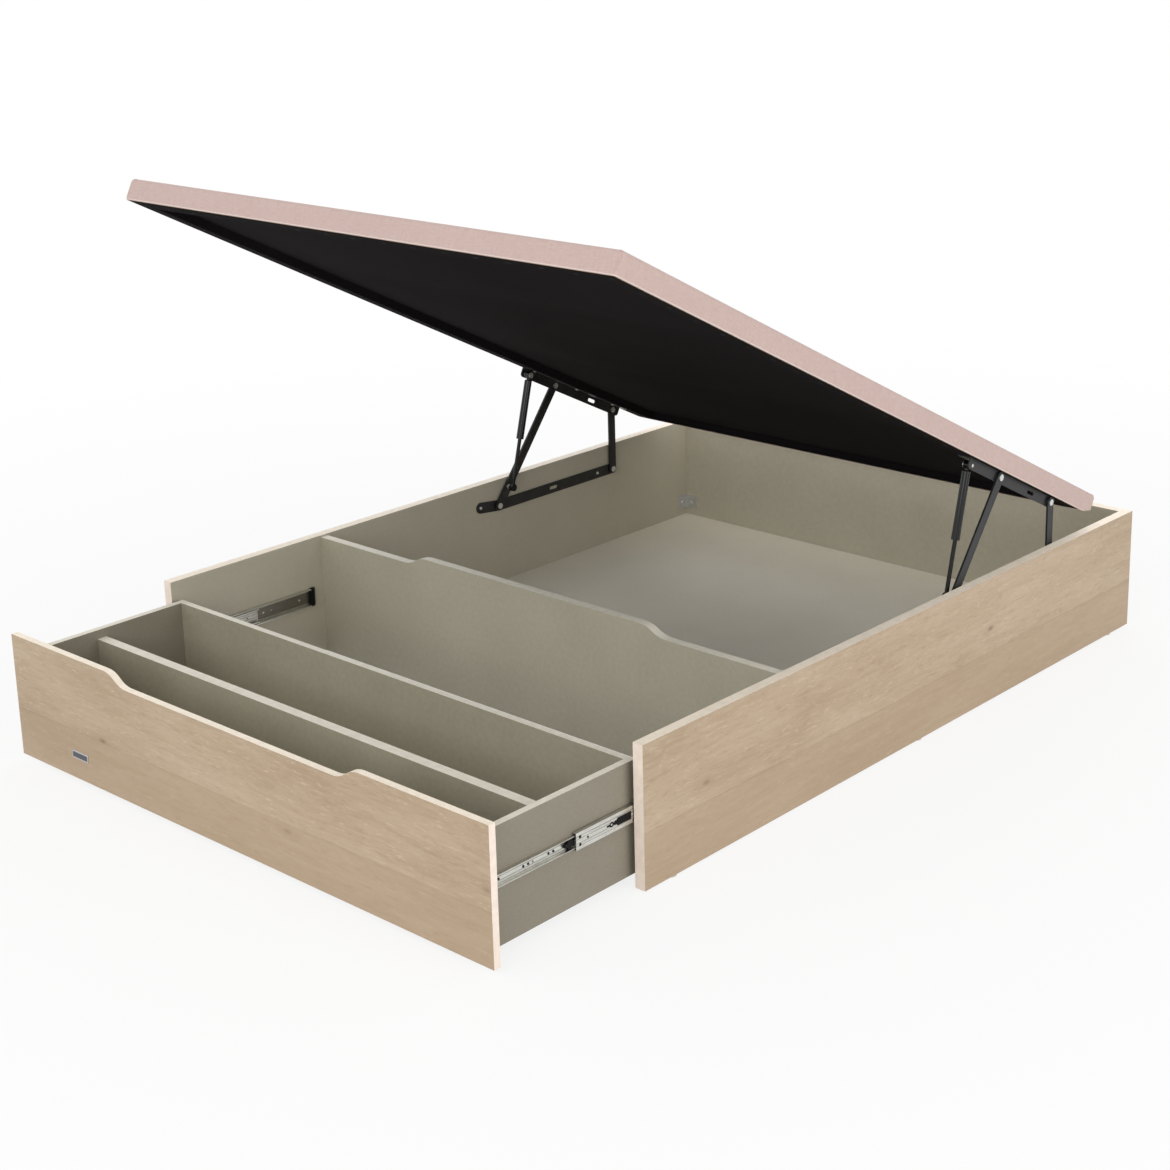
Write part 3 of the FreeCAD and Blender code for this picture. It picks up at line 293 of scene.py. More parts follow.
def rolledSteel(name, greaseShade=0.0):
    # dark grooves along the web at the height of the slides, their darkness painted shade; the last argument
    # darkens the recessed web of the track towards a brown that is partly grease and partly painted shade
    material, tree, shader = newFinish(name, Metallic=1.0, Roughness=0.32)
    here = coords(tree)
    place = parts(tree, here)
    off = apart(tree, place["Z"], slides["level"])
    grooves = [span(tree, apart(tree, off, line), slides["lineWide"], slides["lineCore"])
               for line in slides["lines"]]
    lines = sums(tree, "MAXIMUM", *grooves)
    onWeb = sums(tree, "MAXIMUM", facing(tree, "x", 1), facing(tree, "x", -1))
    lines = sums(tree, "MULTIPLY", lines, onWeb)
    brush = cloud(tree, scaled(tree, here, (600, 40, 600)), 1, 3)
    grit = cloud(tree, here, 300, 3, 0.6)
    shade = weighed(tree, (brush, 0.6), (grit, 0.4))
    steel = mixed(tree, span(tree, shade, 0.36, 0.64), tint(*slides["dark"]), tint(*slides["light"]))
    # grease with painted shade: the recessed web round the track turns dark brown
    greaseShadeMask = sums(tree, "MULTIPLY", span(tree, off, *slides["track"], 0, greaseShade), onWeb)
    steel = mixed(tree, greaseShadeMask, steel, tint(*slides["shadedGrease"]))
    # painted shade: the groove lines are drawn darker than the steel round them
    wearAndGrooveShade = sums(tree, "MULTIPLY", lines, 0.6)
    feed(tree, shader, Base_Color=mixed(tree, wearAndGrooveShade, steel, tint(*slides["groove"])))
    bumped(tree, shader, sums(tree, "SUBTRACT", sums(tree, "MULTIPLY", brush, 0.1), lines), 0.0004, 0.7)
    return material


def plateSteel():
    # brushed plate: darker field inside a bright rim
    material, tree, shader = newFinish("brushedPlate", Metallic=1.0, Roughness=0.28)
    here = coords(tree)
    place = parts(tree, here)
    brush = cloud(tree, scaled(tree, here, (60, 900, 900)), 1, 2)
    offX = apart(tree, place["X"], badge["centre"][0])
    offZ = apart(tree, place["Z"], badge["centre"][1])
    field = sums(tree, "MULTIPLY", sums(tree, "LESS_THAN", offX, badge["wide"] / 2 - badge["rim"]),
                 sums(tree, "LESS_THAN", offZ, badge["tall"] / 2 - badge["rim"]))
    pale = mixed(tree, brush, *(tint(*tone) for tone in badge["pale"]))
    dark = mixed(tree, brush, *(tint(*tone) for tone in badge["field"]))
    feed(tree, shader, Base_Color=mixed(tree, field, pale, dark))
    bumped(tree, shader, brush, 0.00003, 0.4)
    return material


def mouldedPlastic(name, tone, shine=0.25):
    material, tree, shader = newFinish(name, Roughness=0.5, Specular_IOR_Level=shine)
    here = coords(tree)
    spark = cloud(tree, here, 1400, 2)
    flow = cloud(tree, here, 70, 3)
    feed(tree, shader, Base_Color=mixed(tree, flow, tint(*tone), tint(*(c + 14 for c in tone))),
         Roughness=span(tree, flow, 0.3, 0.7, 0.42, 0.56))
    bumped(tree, shader, spark, 0.00005, 0.5)
    return material


# fabrics

coverCloth = {"dark": (186, 162, 154), "light": (207, 184, 177), "hem": (236, 222, 216),
              "hemEdge": (0.0028, 0.0020)}
underFelt = {"dark": (20, 18, 19), "light": (34, 31, 32)}


def wovenCover():
    # plain weave on the cover's own map, in metres: slubby warp over weft
    material, tree, shader = newFinish("wovenCover", Roughness=0.88, Specular_IOR_Level=0.25,
                                       Sheen_Weight=0.1, Sheen_Roughness=0.5)
    thread = put(tree, "ShaderNodeUVMap", uv_map="weave").outputs[0]
    warp = cloud(tree, scaled(tree, thread, (700, 38, 1)), 1, 3, 0.6)
    weft = cloud(tree, scaled(tree, thread, (38, 700, 1)), 1, 3, 0.6)
    pile = cloud(tree, scaled(tree, thread, (5, 5, 1)), 1, 4)
    check = put(tree, "ShaderNodeTexChecker", {"Vector": thread, "Scale": 1100.0}).outputs["Fac"]
    over = sums(tree, "ADD", sums(tree, "MULTIPLY", warp, check),
                sums(tree, "MULTIPLY", weft, sums(tree, "SUBTRACT", 1.0, check)))
    shade = weighed(tree, (sums(tree, "ADD", warp, weft), 0.4), (pile, 0.07))
    colour = mixed(tree, span(tree, shade, 0.295, 0.575), tint(*coverCloth["dark"]),
                   tint(*coverCloth["light"]))
    height = parts(tree, thread)["Y"]
    hem = sums(tree, "MULTIPLY", span(tree, height, *coverCloth["hemEdge"]),
               sums(tree, "GREATER_THAN", height, 0.0))
    colour = mixed(tree, sums(tree, "MULTIPLY", hem, 0.6), colour, tint(*coverCloth["hem"]))
    feed(tree, shader, Base_Color=colour)
    bumped(tree, shader, over, 0.0004, 0.5)
    return material


def spunCloth():
    # black felted under cloth with its fine bonded dots
    material, tree, shader = newFinish("spunCloth", Roughness=1.0, Specular_IOR_Level=0.05)
    thread = put(tree, "ShaderNodeUVMap", uv_map="weave").outputs[0]
    fibre = cloud(tree, scaled(tree, thread, (300, 900, 1)), 1, 4, 0.7, 2.0)
    haze = cloud(tree, scaled(tree, thread, (3, 3, 1)), 1, 4)
    dots = put(tree, "ShaderNodeTexVoronoi", {"Vector": thread, "Scale": 420.0, "Randomness": 0.25})
    shade = span(tree, weighed(tree, (fibre, 0.7), (haze, 0.3)), 0.3, 0.7)
    feed(tree, shader, Base_Color=mixed(tree, shade, tint(*underFelt["dark"]), tint(*underFelt["light"])))
    bumped(tree, shader, dots.outputs["Distance"], 0.0003, 0.4)
    return material


finish = {
    "oakLeft": oakFinish("oakLeft", "y", "x", -1), "oakRight": oakFinish("oakRight", "y", "x", 1),
    "oakHead": oakFinish("oakHead", "x", "y", 1), "oakFront": oakFinish("oakFront", "x", "y", -1),
    "boardAcross": boardFinish("boardAcross", "y", inside["tone"]),
    "drawerAcross": boardFinish("drawerAcross", "y", inside["drawer"]),
    "boardAlong": boardFinish("boardAlong", "x", inside["side"]),
    "boardFlat": boardFinish("boardFlat", "z", inside["floor"]),
    "timber": timberFinish(),
    "blackSteel": paintedSteel("blackSteel", (24, 24, 26), (44, 44, 47), 0.4),
    "glossTube": paintedSteel("glossTube", (8, 8, 9), (16, 16, 18), 0.12, 0.35, 0.00001),
    "blackRod": paintedSteel("blackRod", (10, 10, 11), (20, 20, 22), 0.25, 0.25, 0.00001),
    "zinc": zincSteel(),
    "plastic": mouldedPlastic("blackPlastic", (7, 7, 8), 0.12),
    "paleFoot": mouldedPlastic("paleFoot", (196, 190, 176)),
    "plate": plateSteel(),
    "rolled": rolledSteel("rolledSteel"),
    "track": rolledSteel("greasedTrack", 0.75),
    "cover": wovenCover(),
    "spun": spunCloth(),
    "thread": mouldedPlastic("seamThread", (196, 170, 162)),
}
print("finishes ready:", len(finish))

wears = {
    "oakLeft": ["side_panel_left"], "oakRight": ["side_panel_right"], "oakHead": ["head_panel"],
    "oakFront": ["drawer_front"], "boardAcross": ["partition_panel"],
    "drawerAcross": ["drawer_back", "drawer_divider"],
    "boardAlong": ["drawer_side_left", "drawer_side_right"],
    "boardFlat": ["storage_floor", "drawer_bottom"],
    "timber": ["panel_dowels", "floor_battens", "lid_timber_left", "lid_timber_right", "lid_timber_head",
               "lid_timber_foot", "lid_battens", "lid_board"],
    "blackSteel": ["lower_rail_left", "lower_rail_right", "upper_rail_left", "upper_rail_right",
                   "lift_arm_left", "lift_arm_right", "rear_link_left", "rear_link_right"],
    "glossTube": ["strut_tube_left", "strut_tube_right"], "blackRod": ["strut_rod_left", "strut_rod_right"],
    "rolled": ["slide_middle_left", "slide_middle_right", "slide_inner_left", "slide_inner_right"],
    "track": ["slide_outer_left", "slide_outer_right"],
    "zinc": ["outer_ball_strips", "inner_ball_strips", "corner_brackets", "arm_tip_rivets", "strut_studs",
             "lower_pivot_pins", "upper_pivot_pins", "lower_rail_screws", "upper_rail_screws"],
    "plastic": ["slide_latches", "slide_bumpers", "slide_end_caps"], "paleFoot": ["floor_glides"],
    "cover": ["lid_cover"], "spun": ["lid_dust_cover"],
}
for look, names in wears.items():
    for name in names:
        nodes[name].data.materials.clear()
        nodes[name].data.materials.append(finish[look])
print("finishes on the solids:", sum(len(names) for names in wears.values()))


# mesh helpers

near = 1e-4  # metres within which a point counts as on a line or a face


def looseObject(name, mesh):
    piece = bpy.data.objects.new(name, mesh)
    scene.collection.objects.link(piece)
    return piece


def newPiece(name, mesh, look, body):
    piece = looseObject(name, mesh)
    mesh.materials.clear()
    mesh.materials.append(finish[look])
    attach(piece, body)
    return piece


def plainMesh(piece):
    # what the modifiers make of a piece, as a mesh of its own
    view = bpy.context.evaluated_depsgraph_get()
    return bpy.data.meshes.new_from_object(piece.evaluated_get(view))


def joinRings(bm, first, second):
    # a band of faces between two rings of points
    for k in range(len(first)):
        m = (k + 1) % len(first)
        bm.faces.new((first[k], first[m], second[m], second[k]))


def softened(mesh, angle):
    mesh.shade_smooth()
    mesh.set_sharp_from_angle(angle=math.radians(angle))


fabric = {"mass": 0.3, "bending": 2.0, "steps": 20}


def settle(piece, pinned, pressure, gravity, cap, stiff):
    # short cloth run; a point moves no further than its cap
    group = piece.vertex_groups.new(name="pinned")
    group.add(pinned, 1.0, "REPLACE")
    cloth = piece.modifiers.new("cloth", "CLOTH")
    cloth.settings.vertex_group_mass = "pinned"
    cloth.settings.mass = fabric["mass"]
    cloth.settings.tension_stiffness = stiff
    cloth.settings.compression_stiffness = stiff
    cloth.settings.shear_stiffness = stiff
    cloth.settings.bending_stiffness = fabric["bending"]
    cloth.settings.use_pressure = pressure > 0
    cloth.settings.uniform_pressure_force = pressure
    cloth.settings.effector_weights.gravity = gravity
    cloth.point_cache.frame_start = 1
    cloth.point_cache.frame_end = fabric["steps"]
    for step in range(1, fabric["steps"] + 1):
        scene.frame_set(step)
    moved = piece.evaluated_get(bpy.context.evaluated_depsgraph_get()).data
    rest = [v.co.copy() for v in piece.data.vertices]
    shifts = [moved.vertices[i].co - p for i, p in enumerate(rest)]
    piece.modifiers.remove(cloth)
    scene.frame_set(1)
    for vertex, start, shift in zip(piece.data.vertices, rest, shifts):
        limit = cap(start)
        vertex.co = start + (shift * (limit / shift.length) if shift.length > limit else shift)
    print(piece.name, "settled, furthest", round(max(s.length for s in shifts) * 1000, 2), "mm")


def mapWeave(mesh):
    # box map in metres, drawn in the lid's own frame
    layer = mesh.uv_layers.new(name="weave")
    for face in mesh.polygons:
        n = [abs(c) for c in face.normal]
        first, second = ((0, 1) if n[2] == max(n) else (1, 2) if n[0] == max(n) else (0, 2))
        for loop in face.loop_indices:
            p = mesh.vertices[mesh.loops[loop].vertex_index].co
            layer.data[loop].uv = (p[first], p[second])


# upholstered cover of the lid: thin wadding under cloth, crowned on top, open below round the timbers

cover = {"round": 0.010, "columns": 50, "rows": 66, "arc": 6,
         "levels": (0.036, 0.029, 0.022, 0.015, 0.008, 0.0025), "hem": 0.0018, "room": 0.0004, "below": 0.01,
         "crown": 0.006, "sideShare": 0.3, "pressure": 0.05, "stiff": 60}


def roundedBlock(bm):
    r, w, l, h = cover["round"], lid["half"], lid["length"], lid["thick"]
    nx, ny, arc = cover["columns"], cover["rows"], cover["arc"]
    grid = [[bm.verts.new((-w + r + 2 * (w - r) * i / nx, -r - (l - 2 * r) * j / ny, h))
             for i in range(nx + 1)] for j in range(ny + 1)]
    for j in range(ny):
        for i in range(nx):
            bm.faces.new((grid[j][i], grid[j + 1][i], grid[j + 1][i + 1], grid[j][i + 1]))
    loop = []  # grid corner and outward angle, counter-clockwise from above
    runs = [[(i, ny) for i in range(nx + 1)], [(nx, j) for j in range(ny, -1, -1)],
            [(i, 0) for i in range(nx, -1, -1)], [(0, j) for j in range(ny + 1)]]
    for turn, run in enumerate(runs):
        angle = math.radians(90 * turn - 90)
        loop += [(grid[j][i], angle) for i, j in run]
        i, j = run[-1]
        loop += [(grid[j][i], angle + math.radians(90) * k / arc) for k in range(1, arc)]
    hem = cover["hem"]
    profile = [(r * math.sin(a), h - r + r * math.cos(a)) for a in
               [math.radians(90) * k / arc for k in range(1, arc + 1)]]
    profile += [(r, z) for z in cover["levels"]] + [(r - hem * 0.3, hem * 0.3), (r - hem, 0)]
    ring = [vert for vert, angle in loop]
    for reach, level in profile:
        lower = [bm.verts.new((v.co.x + reach * math.cos(a), v.co.y + reach * math.sin(a), level))
                 for v, a in loop]
        for k in range(len(loop)):
            m = (k + 1) % len(loop)
            corner = [ring[k], lower[k], lower[m], ring[m]]
            bm.faces.new(list(dict.fromkeys(corner)))
        ring = lower
    bm.faces.new(list(reversed(ring)))
    bmesh.ops.recalc_face_normals(bm, faces=bm.faces)


def bevelCut(bm, inset):
    # slants the lower head edge, so that it clears the head panel as the lid tips
    run, rise = lid["bevelRun"], lid["bevelRise"]
    out = Vector((0, rise, -run)).normalized()
    bmesh.ops.bisect_plane(bm, geom=bm.verts[:] + bm.edges[:] + bm.faces[:], dist=1e-6,
                           plane_co=Vector((0, -run, 0)) - out * inset, plane_no=out, clear_outer=True)
    bmesh.ops.holes_fill(bm, edges=[e for e in bm.edges if e.is_boundary])
    bmesh.ops.recalc_face_normals(bm, faces=bm.faces)


def meshFrom(name, build):
    mesh = bpy.data.meshes.new(name)
    bm = bmesh.new()
    build(bm)
    bm.to_mesh(mesh)
    bm.free()
    return mesh


def coverCore(bm):
    # the room that board and timbers take inside the cover
    inset = lid["wall"] - cover["room"]
    low = (-lid["half"] + inset, -lid["length"] + inset, -cover["below"])
    high = (lid["half"] - inset, -inset, lid["thick"] - inset)
    corners = bmesh.ops.create_cube(bm, size=1.0)["verts"]
    for vert in corners:
        vert.co = [low[k] if vert.co[k] < 0 else high[k] for k in range(3)]
    bevelCut(bm, inset)


def coverCap(p):
    # the top may crown, the sides bulge less
    return cover["crown"] * (1.0 if p.z > lid["thick"] - near else cover["sideShare"])


skin = looseObject("coverSkin", meshFrom("coverSkin", roundedBlock))
still = [v.index for v in skin.data.vertices if v.co.z < lid["thick"] - 1.2 * cover["round"]]
settle(skin, still, cover["pressure"], 0.0, coverCap, cover["stiff"])
bm = bmesh.new()
bm.from_mesh(skin.data)
bevelCut(bm, 0.0)
bm.to_mesh(skin.data)
bm.free()
coverSurface = BVHTree.FromPolygons([v.co.copy() for v in skin.data.vertices],
                                    [tuple(face.vertices) for face in skin.data.polygons])
core = looseObject("coverCore", meshFrom("coverCore", coverCore))
hollow = skin.modifiers.new("hollow", "BOOLEAN")
hollow.object = core
hollow.operation = "DIFFERENCE"
hollow.solver = "EXACT"
coverMesh = plainMesh(skin)
coverMesh.name = "lidUpholstery"
for helper in (skin, core):
    bpy.data.objects.remove(helper)
while coverMesh.uv_layers:
    coverMesh.uv_layers.remove(coverMesh.uv_layers[0])
mapWeave(coverMesh)
coverMesh.transform(lidPlace)
softened(coverMesh, 32)
lidUpholstery = newPiece("lidUpholstery", coverMesh, "cover", "lid")
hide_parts("lid_cover")
print("lid upholstery:", len(coverMesh.polygons), "faces")


# black under cloth: flat in the recess, down the timbers' inner faces and out under them

under = {"panel": (44, 60), "thick": 0.00025, "edge": 0.0012, "sag": 0.005, "lip": 0.0003, "headEdge": 0.0615,
         "battens": (0.709, 1.418), "battenHalf": 0.035, "gravity": 0.1, "stiff": 150}


def underCloth(bm):
    inX = lid["half"] - lid["wall"] - lid["timber"]
    outX = lid["half"] - lid["wall"] - under["edge"]
    head, foot = -lid["wall"] - lid["timber"], -lid["length"] + lid["wall"] + lid["timber"]
    nx, ny = under["panel"]
    high = lid["recess"] - under["lip"]
    grid = [[bm.verts.new((-inX + 2 * inX * i / nx, head + (foot - head) * j / ny, high))
             for i in range(nx + 1)] for j in range(ny + 1)]
    for j in range(ny):
        for i in range(nx):
            bm.faces.new((grid[j][i], grid[j][i + 1], grid[j + 1][i + 1], grid[j + 1][i]))
    border = [(i, 0) for i in range(nx)] + [(nx, j) for j in range(ny)]
    border += [(i, ny) for i in range(nx, 0, -1)] + [(0, j) for j in range(ny, 0, -1)]
    ring = [grid[j][i] for i, j in border]
    start = [v.co.copy() for v in ring]
    headOut = -under["headEdge"]
    footOut = -lid["length"] + lid["wall"] + under["edge"]
    for outward, downward in ((0, 0.5), (0, 1), (0.5, 1), (1, 1)):
        lower = []
        for p in start:
            x, y = p.x, p.y
            if abs(abs(p.x) - inX) < near:
                x = math.copysign(inX + (outX - inX) * outward, p.x)
            if abs(p.y - foot) < near:
                y = foot + (footOut - foot) * outward
            if abs(p.y - head) < near:
                y = head + (headOut - head) * outward
            lower.append(bm.verts.new((x, y, high - (high + under["lip"]) * downward)))
        joinRings(bm, ring, lower)
        ring = lower


clothMesh = meshFrom("lidUnderCloth", underCloth)
mapWeave(clothMesh)
clothMesh.transform(lidPlace)
lidUnderCloth = looseObject("underClothDraft", clothMesh)
toLid = lidPlace.inverted()
high = lid["recess"] - under["lip"]
held = []
for v in clothMesh.vertices:
    p = toLid @ v.co
    onBatten = any(abs(-p.y - place) < under["battenHalf"] for place in under["battens"])
    margin = lid["wall"] + lid["timber"] + near
    rim = abs(p.x) > lid["half"] - margin
    ends = p.y > -margin or p.y < -lid["length"] + margin
    if onBatten or rim or ends or p.z < high - near:
        held.append(v.index)
settle(lidUnderCloth, held, 0.0, under["gravity"], lambda p: under["sag"], under["stiff"])
wall = lidUnderCloth.modifiers.new("wall", "SOLIDIFY")
wall.thickness = under["thick"]
wall.offset = 0.0
thickCloth = plainMesh(lidUnderCloth)
bpy.data.objects.remove(lidUnderCloth)
thickCloth.name = "lidUnderCloth"
softened(thickCloth, 40)
lidUnderCloth = newPiece("lidUnderCloth", thickCloth, "spun", "lid")
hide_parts("lid_dust_cover")
print("under cloth:", len(thickCloth.polygons), "faces")


# repeated small things, set out by geometry nodes on points that carry an axis and a heading

def pointMesh(name, spots):
    mesh = bpy.data.meshes.new(name)
    mesh.from_pydata([tuple(s[0]) for s in spots], [], [])
    for index, label in ((1, "axis"), (2, "heading")):
        data = mesh.attributes.new(label, "FLOAT_VECTOR", "POINT").data
        for item, spot in zip(data, spots):
            item.vector = spot[index]
    return mesh


def rowTree(name, sizes, shape):
    tree = bpy.data.node_groups.new(name, "GeometryNodeTree")
    tree.interface.new_socket("Geometry", in_out="INPUT", socket_type="NodeSocketGeometry")
    for label in sizes:
        tree.interface.new_socket(label, in_out="INPUT", socket_type="NodeSocketFloat")
    tree.interface.new_socket("Look", in_out="INPUT", socket_type="NodeSocketMaterial")
    tree.interface.new_socket("Geometry", in_out="OUTPUT", socket_type="NodeSocketGeometry")
    given = tree.nodes.new("NodeGroupInput").outputs
    axis, heading = (put(tree, "GeometryNodeInputNamedAttribute", {"Name": label},
                         data_type="FLOAT_VECTOR").outputs["Attribute"] for label in ("axis", "heading"))
    turn = put(tree, "FunctionNodeAxesToRotation", {"Primary Axis": axis, "Secondary Axis": heading},
               primary_axis="Z", secondary_axis="X")
    spread = put(tree, "GeometryNodeInstanceOnPoints",
                 {"Points": given["Geometry"], "Instance": shape(tree, given), "Rotation": turn.outputs[0]})
    real = put(tree, "GeometryNodeRealizeInstances", {"Geometry": spread.outputs[0]})
    dressed = put(tree, "GeometryNodeSetMaterial", {"Geometry": real.outputs[0], "Material": given["Look"]})
    out = tree.nodes.new("NodeGroupOutput")
    tree.links.new(dressed.outputs[0], out.inputs[0])
    return tree


def row(name, tree, spots, sizes, look, body):
    piece = looseObject(name + "Points", pointMesh(name, spots))
    modifier = piece.modifiers.new("row", "NODES")
    modifier.node_group = tree
    known = {item.name: item.identifier for item in tree.interface.items_tree if item.in_out == "INPUT"}
    for label, value in sizes.items():
        modifier[known[label]] = value
    modifier[known["Look"]] = finish[look]
    mesh = plainMesh(piece)
    bpy.data.objects.remove(piece)
    mesh.name = name
    return newPiece(name, mesh, look, body)


def combined(tree, **places):
    return put(tree, "ShaderNodeCombineXYZ", places).outputs[0]


def raised(tree, geometry, height):
    return put(tree, "GeometryNodeTransform",
               {"Geometry": geometry, "Translation": combined(tree, Z=height)}).outputs[0]


def screwShape(tree, given):
    # low domed head with a cross recess, and the shank behind it
    def share(label, part):
        return sums(tree, "MULTIPLY", given[label], part)

    head = put(tree, "GeometryNodeMeshCone",
               {"Vertices": 20, "Radius Bottom": given["Radius"], "Radius Top": share("Radius", 0.72),
                "Depth": given["Height"]}).outputs[0]
    arms = []
    for wide, thin in ((1.1, 0.24), (0.24, 1.1)):
        size = combined(tree, X=share("Radius", wide), Y=share("Radius", thin), Z=given["Height"])
        bar = put(tree, "GeometryNodeMeshCube", {"Size": size}).outputs[0]
        arms.append(raised(tree, bar, share("Height", 0.9)))
    cut = put(tree, "GeometryNodeMeshBoolean", {"Mesh 1": head}, operation="DIFFERENCE", solver="EXACT")
    for bar in arms:
        tree.links.new(bar, cut.inputs["Mesh 2"])
    shank = put(tree, "GeometryNodeMeshCylinder",
                {"Vertices": 10, "Radius": share("Radius", 0.48), "Depth": given["Shank"]}).outputs[0]
    shank = raised(tree, shank, share("Shank", -0.5))
    joined = put(tree, "GeometryNodeJoinGeometry")
    tree.links.new(cut.outputs[0], joined.inputs[0])
    tree.links.new(shank, joined.inputs[0])
    return joined.outputs[0]


def threadShape(tree, given):
    start, end = (combined(tree, X=sums(tree, "MULTIPLY", given["Length"], share)) for share in (-0.5, 0.5))
    line = put(tree, "GeometryNodeCurvePrimitiveLine", {"Start": start, "End": end})
    ring = put(tree, "GeometryNodeCurvePrimitiveCircle", {"Resolution": 6, "Radius": given["Radius"]})
    return put(tree, "GeometryNodeCurveToMesh", {"Curve": line.outputs[0], "Profile Curve": ring.outputs[0],
                                                 "Fill Caps": True}).outputs[0]


screwTree = rowTree("screwRow", ("Radius", "Height", "Shank"), screwShape)
threadTree = rowTree("threadRow", ("Length", "Radius"), threadShape)

screws = {"rail": {"Radius": 0.0045, "Height": 0.002, "Shank": 0.009},
          "slideOuter": {"Radius": 0.0038, "Height": 0.00045, "Shank": 0.010},
          "slideInner": {"Radius": 0.0028, "Height": 0.0014, "Shank": 0.010},
          "bracket": {"Radius": 0.0042, "Height": 0.0018, "Shank": 0.012},
          "web": 0.0012, "sunk": 0.00038, "outerShares": (0.08, 0.36, 0.92),
          "innerShares": (0.08, 0.565, 0.597, 0.73, 0.762, 0.92), "bracketLeg": 0.021, "bracketThick": 0.002,
          "turn": 2.399}


def islands(node):
    # the separate solids of one node, each as its points
    bm = bmesh.new()
    bm.from_mesh(nodes[node].data)
    bmesh.ops.remove_doubles(bm, verts=bm.verts, dist=1e-6)
    found, seen = [], set()
    for first in bm.verts:
        if first in seen:
            continue
        stack, group = [first], []
        seen.add(first)
        while stack:
            vert = stack.pop()
            group.append(vert.co.copy())
            for edge in vert.link_edges:
                other = edge.other_vert(vert)
                if other not in seen:
                    seen.add(other)
                    stack.append(other)
        found.append(group)
    bm.free()
    return found


def middle(points):
    return sum(points, Vector()) / len(points)


def spin(k):
    # heading of each recess, a fixed spread of turns
    return math.cos(screws["turn"] * k), math.sin(screws["turn"] * k)


railSpots, lidSpots = [], []
for k, points in enumerate(islands("lower_rail_screws")):
    centre = middle(points)
    side = math.copysign(1, centre.x)
    inner = min(abs(p.x) for p in points)
    base = Vector((side * (inner + screws["rail"]["Height"]), centre.y, centre.z))
    railSpots.append((base, (-side, 0, 0), (0, *spin(k))))
down = lidPlace.to_3x3() @ Vector((0, 0, -1))
for k, points in enumerate(islands("upper_rail_screws")):
    flat = [toLid @ p for p in points]
    centre = middle(flat)
    low = min(p.z for p in flat)
    base = lidPlace @ Vector((centre.x, centre.y, low + screws["rail"]["Height"]))
    heading = lidPlace.to_3x3() @ Vector((*spin(k), 0))
    lidSpots.append((base, down, heading))
railScrews = row("lowerRailScrews", screwTree, railSpots, screws["rail"], "zinc", "base")
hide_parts("lower_rail_screws")
lidScrews = row("upperRailScrews", screwTree, lidSpots, screws["rail"], "zinc", "lid")
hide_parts("upper_rail_screws")

outerSpots, innerSpots = [], []
for sideName, side in (("left", -1), ("right", 1)):
    for member, shares, spots, inward in (("slide_outer_", screws["outerShares"], outerSpots, True),
                                          ("slide_inner_", screws["innerShares"], innerSpots, False)):
        low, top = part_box(member + sideName)
        web = screws["web"]
        nearX, farX = sorted((abs(low.x), abs(top.x)))
        faceX = farX - web + screws["sunk"] if inward else nearX + web
        for k, share in enumerate(shares):
            place = Vector((side * faceX, top.y - share * (top.y - low.y), (low.z + top.z) / 2))
            look = (-side, 0, 0) if inward else (side, 0, 0)
            spots.append((place, look, (0, *spin(k + 2))))
row("slidePanelScrews", screwTree, outerSpots, screws["slideOuter"], "zinc", "base")
row("slideDrawerScrews", screwTree, innerSpots, screws["slideInner"], "blackSteel", "drawer")

bracketSpots = []
low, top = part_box("corner_brackets")
leg, sheetThick = screws["bracketLeg"], screws["bracketThick"]
for cornerX, cornerY in ((low.x, low.y), (top.x, low.y), (top.x, top.y), (low.x, top.y)):
    towardX = -math.copysign(1, cornerX)
    towardY = 1 if cornerY == low.y else -1
    level = (low.z + top.z) / 2
    first, second = spin(len(bracketSpots))
    bracketSpots.append((Vector((cornerX + towardX * leg, cornerY + towardY * sheetThick, level)),
                         (0, towardY, 0), (first, 0, second)))
    bracketSpots.append((Vector((cornerX + towardX * sheetThick, cornerY + towardY * leg, level)),
                         (towardX, 0, 0), (0, *spin(len(bracketSpots)))))
row("bracketScrews", screwTree, bracketSpots, screws["bracket"], "zinc", "base")
print("screws set:", len(railSpots) + len(lidSpots) + len(outerSpots) + len(innerSpots) + len(bracketSpots))


# staples that hold the under cloth to the timbers, left out where the lift's rails are screwed on

staples = {"pitch": 0.085, "inset": 0.0285, "headLine": 0.076, "rail": (0.15, 0.605), "level": -0.0005,
           "sideLean": 0.35, "endLean": 0.3, "wire": {"Length": 0.011, "Radius": 0.00045}}
edgeX = lid["half"] - lid["wall"] - staples["inset"]
headLine, footLine = -staples["headLine"], -lid["length"] + lid["wall"] + staples["inset"]
stapleSpots = []


def staple(x, y, heading):
    turned = lidPlace.to_3x3()
    stapleSpots.append((lidPlace @ Vector((x, y, staples["level"])), down, turned @ Vector(heading)))


count = int((headLine - footLine) / staples["pitch"])
for k in range(1, count):
    y = headLine + (footLine - headLine) * k / count
    if not staples["rail"][0] < -y < staples["rail"][1]:
        for side in (-1, 1):
            staple(side * edgeX, y, (staples["sideLean"] * side, 1, 0))
count = int(2 * edgeX / staples["pitch"])
for k in range(count + 1):
    for y in (headLine, footLine):
        staple(-edgeX + 2 * edgeX * k / count, y, (1, staples["endLean"], 0))
row("underClothStaples", threadTree, stapleSpots, staples["wire"], "blackSteel", "lid")
print("staples:", len(stapleSpots))


# seams on the four upright corners of the cover, a raised fold with a stitch line each side

seam = {"width": 0.0010, "rise": 0.0004, "sunk": 0.0004, "shoulder": 0.7, "start": 0.002, "over": 86,
        "step": 0.0042, "aside": 0.0026, "lift": 0.0001, "thread": {"Length": 0.003, "Radius": 0.00028}}


